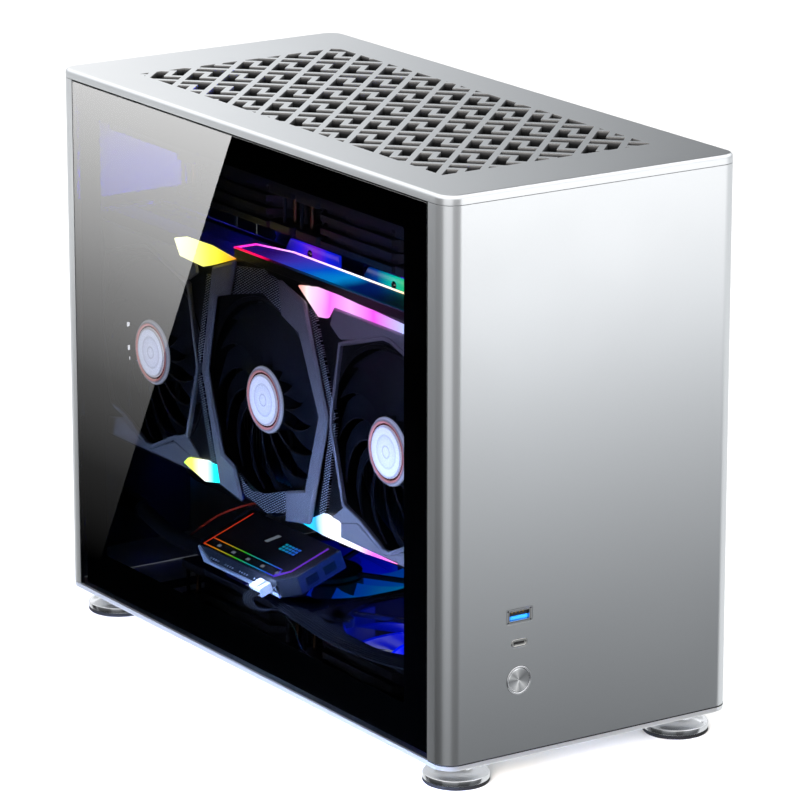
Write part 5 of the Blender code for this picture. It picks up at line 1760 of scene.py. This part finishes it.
def make_controller():
    """The fan and light controller: a dark box with a pale socket rail, a rainbow-lined face and one plug."""
    half_x, half_y = CONTROLLER_HALF[:2]
    centre = middle("controller_box")
    stops = (
        (0.05, "#ff3010"), (0.22, "#e0a010"), (0.42, "#30d020"), (0.62, "#10a0c0"), (0.8, "#3040ff"),
        (0.95, "#a030e0"),
    )
    finishes = [
        surface("controller_shell", linear("#33373f"), linear("#23262c"), (0.3, 0.42), 0.5, 0.008)[0],
        surface("satin_rail", linear("#d3dcea"), linear("#b4bfd0"), (0.3, 0.42), 0.5, 0.004, Metallic=0.2)[0],
        black_connector(),
        # The lid's print is real ink, drawn here as emission, so it glows as painted light.
        light_guide("rainbow_print", 1.3, "Y", centre.y + half_y, centre.y - half_y, stops),
        light_guide("white_print", 0.35, "Y", 0.0, 0.1, ((0.0, "#dfe8f4"), (1.0, "#cfe0f0"))),
        moulded_black(),
    ]
    case = controller_place(joined([*controller_shapes(), *controller_print()]))
    piece("controller_case", case, "case", finishes, ["controller_box"])
    y = FIRST_SOCKET - 3.6 * SOCKET_PITCH * MM
    plug = soften(
        block((-half_x - 7 * MM, y - 5.5 * MM, -3 * MM), (-half_x + 1 * MM, y + 5.5 * MM, 2.6 * MM)), 0.5 * MM
    )
    latch = soften(
        block((-half_x - 6 * MM, y - 2.4 * MM, 2.4 * MM), (-half_x, y + 2.4 * MM, 3.8 * MM)), 0.3 * MM
    )
    white_nylon = coloured_plastic("white_nylon", "#f2f4f6")
    piece("controller_plug", controller_place(joined([plug, latch])), "case", [white_nylon])
    wires = []
    tilt = Matrix.Rotation(math.radians(-20), 3, "Y")
    for number in range(5):
        start = tilt @ Vector((-half_x - 6.5 * MM, y + (number - 2) * 2.1 * MM, 0.0)) + centre
        out = start + Vector((-5 * MM, 0.0, -3 * MM))
        down = Vector((-0.0795 - 0.0003 * number, start.y - 8 * MM, 0.0455))
        end = Vector((-0.0645 + number * 1.6 * MM, 0.004 - number * 2.0 * MM, 0.0435))
        wires.append(tube([start, out, down, end, end + Vector((0.012, -0.03, 0.0))], 1.5 * MM, 2))
    piece("controller_plug_wires", joined(wires), "case", [cable_jacket()])


# Cable routes, the same as the frame's
MAINS_ROUTE = [
    (0.0580, 0.1669, 0.0600), (0.0585, 0.1500, 0.0590), (0.0640, 0.1000, 0.0530), (0.0660, 0.0300, 0.0500),
    (0.0660, -0.0400, 0.0500), (0.0610, -0.0950, 0.0600), (0.0500, -0.1250, 0.0830), (0.0450, -0.1300, 0.1050),
    (0.0450, -0.1300, 0.1236),
]
PORT_X = middle("usb_a_port").x
FRONT_IO_ROUTE = [
    (PORT_X, -0.1657, 0.0859), (PORT_X, -0.1550, 0.0850), (-0.0400, -0.1300, 0.0700),
    (-0.0100, -0.0900, 0.0560),
    (0.0300, -0.0400, 0.0540), (0.0550, -0.0050, 0.0590), (0.0605, 0.0230, 0.0720), (0.0610, 0.0300, 0.0900),
    (0.0610, 0.0300, 0.1007),
]
LOOM_ROUTE = [
    (-0.0560, 0.1889, 0.0590), (-0.0570, 0.1700, 0.0590), (-0.0610, 0.1450, 0.0565), (-0.0640, 0.1200, 0.0550),
    (-0.0640, 0.0895, 0.0560),
]


def make_cables():
    jacket = cable_jacket()
    for name, route, diameter in (
        ("mains_lead", MAINS_ROUTE, 7.0 * MM), ("front_io_cable", FRONT_IO_ROUTE, 5.0 * MM),
    ):
        piece(f"{name}_jacket", tube(route, diameter, 4), "case", [jacket], [name])
    loom = [tube(LOOM_ROUTE, 9.0 * MM, 5)]
    path = smooth_route(LOOM_ROUTE, 3.0 * MM)
    for a, b in zip(path[3:9], path[4:10]):
        ring = [
            (4.3 * MM, -0.9 * MM), (5.6 * MM, -0.6 * MM), (5.8 * MM, 0.0), (5.6 * MM, 0.6 * MM),
            (4.3 * MM, 0.9 * MM),
        ]
        shape = turned(ring, (0, 0, 0), "Z", 32, True)
        turn = UP.rotation_difference(b - a).to_matrix()
        loom.append(placed(shape, turn, a))
    piece("controller_loom_tube", joined(loom), "case", [jacket], ["controller_loom"])
    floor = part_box("bottom_fan_frame_front")[1].z
    bundle = []
    for number in range(9):
        x = -0.0700 + number * 0.0016
        z = floor + 0.0035 - abs(number - 4) * 0.0003
        bundle.append(
            tube(
                [
                    (-0.0660 + number * 0.0012, 0.0150, z + 0.0010), (x, -0.0200, z),
                    (x - 0.0035, -0.0650, z - 0.0005), (x + 0.0040, -0.1150, z),
                    (x + 0.0250, -0.1500, z + 0.0020), (x + 0.0600, -0.1650, z + 0.0030),
                ],
                1.7 * MM, 2, 2.2,
            )
        )
    piece("fan_wire_bundle", joined(bundle), "case", [jacket])
    red = tube(
        [
            (-0.0500, 0.1350, 0.0440), (-0.0520, 0.1180, 0.0560), (-0.0500, 0.0900, 0.0740),
            (-0.0420, 0.0620, 0.0860), (-0.0300, 0.0350, 0.0900), (-0.0100, 0.0100, 0.0860),
        ],
        1.4 * MM, 2, 2.0,
    )
    piece("red_wire", red, "case", [coloured_plastic("red_insulation", "#b8341c")])
    curls = []
    for number in range(6):
        lift = number * 0.0014
        curls.append(
            tube(
                [
                    (-0.0250 + lift, 0.1350, 0.0430), (-0.0350, 0.1100, 0.0520 + lift),
                    (-0.0300, 0.0800, 0.0720 + lift),
                    (-0.0150, 0.0600, 0.0860 + lift), (0.0100, 0.0500, 0.0900 + lift), (0.0450, 0.0450, 0.0850),
                ],
                1.8 * MM, 2, 2.0,
            )
        )
    piece("board_wire_bundle", joined(curls), "case", [jacket])
    steel = tube([(-0.0667, 0.0040, 0.0440), (-0.0720, -0.0180, 0.0400), (-0.0790, -0.0420, 0.0330), (
        -0.0800, -0.0900, 0.0305
    ),
                  (-0.0790, -0.1200, 0.0300)], 1.1 * MM, 2, 2.0)
    piece("wire_guide", steel, "case", [tinned_steel()])
    floor_steel = []
    for y in (-0.128, 0.128):
        outline = rounded((-84.0 * MM, y - 5 * MM), (84.0 * MM, y + 5 * MM), 1 * MM, 2)
        floor_steel.append(soften(plate(outline, "Z", floor - 18 * MM, floor - 16.5 * MM), 0.3 * MM, 1))
    piece("floor_straps", joined(floor_steel), "case", [powder_coated_steel()])


# Stage


def stage_material(name, colour, roughness):
    return surface(name, linear(colour), shade(linear(colour), 0.98), (roughness, roughness), 3.0, 0.01)[0]


def hidden_from(obj, *rays):
    for ray in rays:
        setattr(obj, f"visible_{ray}", False)


def stage_object(name, shape, finish_made):
    mesh = bpy.data.meshes.new(name)
    shape.to_mesh(mesh)
    shape.free()
    mesh.materials.append(finish_made)
    obj = bpy.data.objects.new(name, mesh)
    bpy.context.scene.collection.objects.link(obj)
    obj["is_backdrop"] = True
    return obj


def sheet_of(corners):
    shape = bmesh.new()
    shape.faces.new([shape.verts.new(corner) for corner in corners])
    return shape


def glowing(name, axis, start, end, stops, strength, side=None):
    """Brightness runs along one axis through the stops, and is scaled along another by side."""
    made = bpy.data.materials.new(name)
    made.use_nodes = True
    tree = made.node_tree
    tree.nodes.remove(tree.nodes["Principled BSDF"])
    parts = node(tree, "SeparateXYZ", (), {0: node(tree, "TexCoord").outputs["Object"]}).outputs
    run = node(
        tree, "MapRange", {"From Min": start, "From Max": end}, {"Value": parts["XYZ".index(axis)]}
    ).outputs[0]
    colour = node(tree, "ValToRGB", (), {0: run}, stops).outputs[0]
    power = node(tree, "Emission", {"Strength": strength}, {"Color": colour})
    if side:
        across = node(
            tree, "MapRange",
            {
                "From Min": side[1], "From Max": side[2], "To Min": side[3] * strength,
                "To Max": side[4] * strength,
            },
            {"Value": parts["XYZ".index(side[0])]},
        ).outputs[0]
        tree.links.new(across, power.inputs["Strength"])
    tree.links.new(power.outputs[0], tree.nodes["Material Output"].inputs["Surface"])
    return made


def camera_place():
    stage = bpy.context.scene.tower_stage
    turn, lift = stage.azimuth, stage.elevation
    away = Vector((math.sin(turn) * math.cos(lift), -math.cos(turn) * math.cos(lift), math.sin(lift)))
    return Vector(stage.aim) + away * stage.distance, away


def mirror_sheet(points, plane, distance):
    """A card whose mirror image in one side of the case has the given corners.
    plane is (axis number, place); the card stands parallel to it, that distance away from the case."""
    eye = camera_place()[0]
    axis, at = plane
    image = eye.copy()
    image[axis] = 2 * at - eye[axis]
    out = math.copysign(distance, eye[axis] - at)
    share = (at + out - image[axis]) / (at - image[axis])
    return [image + (Vector(point) - image) * share for point in points]


def make_camera():
    stage = bpy.context.scene.tower_stage
    place, away = camera_place()
    data = bpy.data.cameras.new("camera")
    data.lens = stage.lens
    data.sensor_width = 36.0
    data.clip_start = 0.05
    data.clip_end = 100.0
    camera = bpy.data.objects.new("camera", data)
    camera.location = place
    camera.rotation_euler = away.to_track_quat("Z", "Y").to_euler()
    bpy.context.scene.collection.objects.link(camera)
    bpy.context.scene.camera = camera


def area_light(name, place, aim, size, power, colour="#ffffff", gloss=False):
    data = bpy.data.lights.new(name, "AREA")
    data.shape = "RECTANGLE"
    data.size, data.size_y = size
    data.energy = power
    data.color = linear(colour)[:3]
    light = bpy.data.objects.new(name, data)
    light.location = place
    light.rotation_euler = (Vector(place) - Vector(aim)).to_track_quat("Z", "Y").to_euler()
    bpy.context.scene.collection.objects.link(light)
    if not gloss:
        hidden_from(light, "glossy")
    return light


def make_world():
    """A white studio: plain behind the tower, and brighter from above than from the sides in the metal."""
    stage = bpy.context.scene.tower_stage
    world = bpy.data.worlds.new("studio")
    bpy.context.scene.world = world
    world.use_nodes = True
    tree = world.node_tree
    rise = node(tree, "SeparateXYZ", (), {0: node(tree, "TexCoord").outputs["Generated"]}).outputs[2]
    run = node(tree, "MapRange", {"From Min": -0.5, "From Max": 0.9}, {"Value": rise}).outputs[0]
    stops = [(0.0, "#c8cacb"), (0.3, "#bcbebf"), (0.42, "#9ea0a2"), (0.6, "#e8eaec"), (1.0, "#ffffff")]
    shine = node(tree, "Background", {"Strength": 1.7 * stage.backdrop}, {
        "Color": node(tree, "ValToRGB", (), {0: run}, stops).outputs[0],
    }).outputs[0]
    soft = node(tree, "Background", {"Color": (1, 1, 1, 1), "Strength": 0.75 * stage.backdrop}).outputs[0]
    plain = node(tree, "Background", {"Color": (1, 1, 1, 1), "Strength": 1.0}).outputs[0]
    path = node(tree, "LightPath").outputs
    both = node(tree, "MixShader", (), {0: path["Is Glossy Ray"], 1: soft, 2: shine}).outputs[0]
    seen = node(tree, "MixShader", (), {0: path["Is Camera Ray"], 1: both, 2: plain}).outputs[0]
    tree.links.new(seen, tree.nodes["World Output"].inputs["Surface"])


def mirror_card(name, places, lit):
    """A card that only mirrors see."""
    card = stage_object(name, sheet_of(places), lit)
    hidden_from(card, "camera", "diffuse", "transmission", "shadow")


def make_front_card():
    """The front's gradient: white at the top, mid grey at the foot, a little brighter on the left."""
    low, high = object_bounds()
    plane = (1, low.y)
    distance = 0.35
    corners = [
        (low.x - 0.15, low.y, -0.2), (high.x + 0.2, low.y, -0.2), (high.x + 0.2, low.y, high.z + 0.12),
        (low.x - 0.02, low.y, high.z + 0.12),
    ]
    places = mirror_sheet(corners, plane, distance)
    face = mirror_sheet([(low.x, low.y, 0.0), (high.x, low.y, high.z)], plane, distance)
    stops = [
        (0.0, "#4e5052"), (0.15, "#656769"), (0.4, "#8b8d8f"), (0.65, "#b6b8ba"), (0.84, "#f2f4f6"),
        (0.92, "#ffffff"),
    ]
    side = ("X", face[0].x, face[1].x, 1.12, 0.92)
    lit = glowing("front_gradient", "Z", face[0].z, face[1].z, stops, 1.55, side)
    mirror_card("front_gradient_card", places, lit)


def make_glass_cards():
    """A grey gradient with a slanting edge over the glass's rear, black over the rest, and grey around it."""
    low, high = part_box("glass_panel")
    at = low.x
    plane = (0, at)
    edge, top = high.y + 1 * MM, high.z + 1 * MM
    foot, lean = 0.176, 0.538
    outline = [(at, edge, (foot - edge) / lean), (at, foot - lean * top, top), (at, edge, top)]
    face = mirror_sheet([(at, 0.0, 0.035), (at, 0.0, 0.31)], plane, 0.45)
    stops = [
        (0.0, "#000000"), (0.2, "#242424"), (0.4, "#4c4c4c"), (0.6, "#7c7c7c"), (0.8, "#a8a8a8"),
        (1.0, "#cccccc"),
    ]
    lit = glowing("glass_gradient", "Z", face[0].z, face[1].z, stops, 5.2)
    mirror_card("glass_gradient_card", mirror_sheet(outline, plane, 0.45), lit)
    flag = [(at, high.y, low.z), (at, low.y, low.z), (at, low.y, high.z), (at, high.y, high.z)]
    black = glowing("flag_black", "Z", 0, 1, [(0.0, "#000000")], 0.0)
    mirror_card("black_flag", mirror_sheet(flag, plane, 0.5), black)
    rear, front, below, above = high.y + 0.2, low.y - 0.12, -0.45, high.z + 0.06
    around = [(at, rear, below), (at, front, below), (at, front, above), (at, rear, above)]
    face = mirror_sheet([(at, 0.0, 0.0), (at, 0.0, 0.315)], plane, 0.55)
    stops = [(0.0, "#85878a"), (0.5, "#a6a8aa"), (1.0, "#c6c8ca")]
    lit = glowing("side_gradient", "Z", face[0].z, face[1].z, stops, 0.85)
    mirror_card("side_gradient_card", mirror_sheet(around, plane, 0.55), lit)


# Upright cards round the front left corner: where each starts and ends in degrees, and its strength
RING_CARDS = {"edge": (-33, -14, 1.7), "gap": (-16, 27, 0.55), "corner": (25, 74, 1.2), "side": (72, 132, 0.4)}


def make_ring_cards():
    """Light and dark bands, which the rounded corner and the feet mirror as upright stripes."""
    radius, below, above = 1.1, -0.9, 0.5
    stops = [(0.0, "#56585a"), (0.3, "#76787a"), (0.6, "#b0b2b4"), (0.85, "#e0e2e4"), (1.0, "#ffffff")]
    for name, (start, end, strength) in RING_CARDS.items():
        places = [
            Vector((-math.sin(math.radians(turn)), -math.cos(math.radians(turn)), 0.0)) * radius + UP * rise
            for turn, rise in ((start, below), (end, below), (end, above), (start, above))
        ]
        mirror_card(f"{name}_ring_card", places, glowing(f"{name}_ring", "Z", -0.42, 0.12, stops, strength))


def make_cards():
    """Every card that only mirrors see: they draw the soft gradients on the metal and the glass."""
    make_front_card()
    make_glass_cards()
    make_ring_cards()
    away = camera_place()[1]
    back = Vector((-away.x, -away.y, 0.0)).normalized()
    across = back.cross(UP)
    foot = back * 0.9
    wide, below, above = 0.6, 0.45, 2.2
    places = [
        foot + across * out + UP * rise for out, rise in (
            (-wide, below), (wide, below), (wide, above), (-wide, above)
        )
    ]
    mirror_card("top_gradient_card", places, top_gradient(foot))


def top_gradient(foot):
    """Brightness falls from the left of the view to its right, across the card over the top cover."""
    made = bpy.data.materials.new("top_gradient")
    made.use_nodes = True
    tree = made.node_tree
    tree.nodes.remove(tree.nodes["Principled BSDF"])
    turn = bpy.context.scene.tower_stage.azimuth
    spot = node(tree, "TexCoord").outputs["Object"]
    drawn = node(
        tree, "Mapping", {"vector_type": "TEXTURE", "Location": tuple(foot), "Rotation": (0.0, 0.0, turn)},
        {"Vector": spot},
    ).outputs[0]
    across = node(tree, "SeparateXYZ", (), {0: drawn}).outputs[0]
    run = node(tree, "MapRange", {"From Min": -0.26, "From Max": 0.26}, {"Value": across}).outputs[0]
    stops = [(0.0, "#ffffff"), (0.3, "#dcdee0"), (0.6, "#aaacae"), (1.0, "#626466")]
    colour = node(tree, "ValToRGB", (), {0: run}, stops).outputs[0]
    power = node(tree, "Emission", {"Strength": 1.4}, {"Color": colour}).outputs[0]
    tree.links.new(power, tree.nodes["Material Output"].inputs["Surface"])
    return made


def make_stage():
    make_camera()
    make_world()
    shape = bmesh.new()
    bmesh.ops.create_grid(shape, x_segments=2, y_segments=2, size=6.0)
    floor = stage_object("studio_floor", shape, stage_material("white_floor", "#fbfbfb", 0.6))
    hidden_from(floor, "glossy")
    make_cards()
    area_light("overhead", (0.0, -0.2, 2.2), (0.0, 0.0, 0.0), (3.0, 3.0), 55.0)
    area_light("left_fill", (-1.4, -1.4, 0.7), (-0.08, 0.0, 0.17), (0.7, 0.7), 75.0, "#fff4ea")
    area_light("low_cool_fill", (-0.42, -0.12, 0.03), (-0.08, -0.02, 0.11), (0.35, 0.05), 14.0, "#a9c8ff")
    area_light("rear_blue", (-0.02, 0.10, 0.245), (-0.07, 0.19, 0.275), (0.03, 0.03), 3.2, "#2a30ff")
    area_light("upper_fill", (-0.55, -0.30, 0.24), (-0.05, 0.02, 0.27), (0.3, 0.1), 9.0, "#c4c8ff")
    area_light("floor_key", (-0.072, -0.03, 0.099), (-0.058, -0.07, 0.03), (0.008, 0.16), 0.35, "#bcd0ff")
    area_light("floor_blue", (-0.01, -0.07, 0.05), (-0.05, -0.06, 0.12), (0.08, 0.08), 0.8, "#1840ff")
    bpy.context.scene.view_settings.view_transform = "Standard"


# Operators


class TOWER_OT_shells(bpy.types.Operator):
    """Make the metal shells of the case"""

    bl_idname = "tower.shells"
    bl_label = "Case shells"

    def execute(self, context):
        make_shells()
        make_seams()
        return {"FINISHED"}


class TOWER_OT_glass(bpy.types.Operator):
    """Make the glass side with its printed border and carriers"""

    bl_idname = "tower.glass"
    bl_label = "Glass side"

    def execute(self, context):
        make_glass()
        return {"FINISHED"}


class TOWER_OT_feet(bpy.types.Operator):
    """Make the four turned feet and their pads"""

    bl_idname = "tower.feet"
    bl_label = "Feet"

    def execute(self, context):
        make_feet()
        return {"FINISHED"}


class TOWER_OT_power_button(bpy.types.Operator):
    """Make the power button and its ring"""

    bl_idname = "tower.power_button"
    bl_label = "Power button"

    def execute(self, context):
        make_power_button()
        return {"FINISHED"}


class TOWER_OT_front_ports(bpy.types.Operator):
    """Make the front sockets"""

    bl_idname = "tower.front_ports"
    bl_label = "Front sockets"

    def execute(self, context):
        make_front_ports()
        return {"FINISHED"}


class TOWER_OT_case_fans(bpy.types.Operator):
    """Make the four case fans"""

    bl_idname = "tower.case_fans"
    bl_label = "Case fans"

    def execute(self, context):
        make_case_fans()
        return {"FINISHED"}


class TOWER_OT_card_shroud(bpy.types.Operator):
    """Make the graphics card's shroud and angular frames"""

    bl_idname = "tower.card_shroud"
    bl_label = "Card shroud"

    def execute(self, context):
        make_card_shroud()
        return {"FINISHED"}


class TOWER_OT_card_rotors(bpy.types.Operator):
    """Make the graphics card's three fans"""

    bl_idname = "tower.card_rotors"
    bl_label = "Card fans"

    def execute(self, context):
        make_card_rotors()
        return {"FINISHED"}


class TOWER_OT_card_lights(bpy.types.Operator):
    """Make the graphics card's lit lenses and bar"""

    bl_idname = "tower.card_lights"
    bl_label = "Card lights"

    def execute(self, context):
        make_card_lights()
        return {"FINISHED"}


class TOWER_OT_card_back(bpy.types.Operator):
    """Make the graphics card's cooler, board, backplate and riser"""

    bl_idname = "tower.card_back"
    bl_label = "Card body"

    def execute(self, context):
        make_card_back()
        return {"FINISHED"}


class TOWER_OT_motherboard(bpy.types.Operator):
    """Make the motherboard, its memory and its cooler"""

    bl_idname = "tower.motherboard"
    bl_label = "Motherboard"

    def execute(self, context):
        make_motherboard()
        return {"FINISHED"}


class TOWER_OT_rear_ports(bpy.types.Operator):
    """Make the rear connectors, mains socket and screws"""

    bl_idname = "tower.rear_ports"
    bl_label = "Rear connectors"

    def execute(self, context):
        make_rear_ports()
        return {"FINISHED"}


class TOWER_OT_inner_steel(bpy.types.Operator):
    """Make the roof rails and the power supply's bracket"""

    bl_idname = "tower.inner_steel"
    bl_label = "Inner steel"

    def execute(self, context):
        make_inner_steel()
        return {"FINISHED"}


class TOWER_OT_power_supply(bpy.types.Operator):
    """Make the power supply, its fan and its switch"""

    bl_idname = "tower.power_supply"
    bl_label = "Power supply"

    def execute(self, context):
        make_power_supply()
        return {"FINISHED"}


class TOWER_OT_controller(bpy.types.Operator):
    """Make the fan and light controller and its plug"""

    bl_idname = "tower.controller"
    bl_label = "Controller"

    def execute(self, context):
        make_controller()
        return {"FINISHED"}


class TOWER_OT_cables(bpy.types.Operator):
    """Make the cables inside the case"""

    bl_idname = "tower.cables"
    bl_label = "Cables"

    def execute(self, context):
        make_cables()
        return {"FINISHED"}


class TOWER_OT_stage(bpy.types.Operator):
    """Make the camera, the studio light and the floor"""

    bl_idname = "tower.stage"
    bl_label = "Stage"

    def execute(self, context):
        make_stage()
        return {"FINISHED"}


OPERATORS = (
    TOWER_OT_stage, TOWER_OT_shells, TOWER_OT_glass, TOWER_OT_feet, TOWER_OT_power_button,
    TOWER_OT_front_ports, TOWER_OT_case_fans, TOWER_OT_card_shroud, TOWER_OT_card_rotors,
    TOWER_OT_card_lights, TOWER_OT_card_back, TOWER_OT_motherboard, TOWER_OT_rear_ports,
    TOWER_OT_inner_steel, TOWER_OT_power_supply, TOWER_OT_controller, TOWER_OT_cables,
)


class TOWER_PT_panel(bpy.types.Panel):
    """Lists the tower's settings and operators"""

    bl_idname = "TOWER_PT_panel"
    bl_label = "Desktop tower"
    bl_space_type = "VIEW_3D"
    bl_region_type = "UI"
    bl_category = "Tower"

    def draw(self, context):
        for group in (context.scene.tower_finishes, context.scene.tower_sizes, context.scene.tower_stage):
            box = self.layout.box()
            for name in group.bl_rna.properties.keys():
                if name not in ("rna_type", "name"):
                    box.prop(group, name)
        for operator in OPERATORS:
            self.layout.operator(operator.bl_idname)


CLASSES = (TowerFinishes, TowerSizes, TowerStage, *OPERATORS, TOWER_PT_panel)


def register():
    for made in CLASSES:
        bpy.utils.register_class(made)
    bpy.types.Scene.tower_finishes = bpy.props.PointerProperty(type=TowerFinishes)
    bpy.types.Scene.tower_sizes = bpy.props.PointerProperty(type=TowerSizes)
    bpy.types.Scene.tower_stage = bpy.props.PointerProperty(type=TowerStage)


def unregister():
    del bpy.types.Scene.tower_stage
    del bpy.types.Scene.tower_sizes
    del bpy.types.Scene.tower_finishes
    for made in reversed(CLASSES):
        bpy.utils.unregister_class(made)


def main():
    register()
    for operator in OPERATORS:
        group, name = operator.bl_idname.split(".")
        getattr(getattr(bpy.ops, group), name)()


if __name__ == "__main__":
    main()
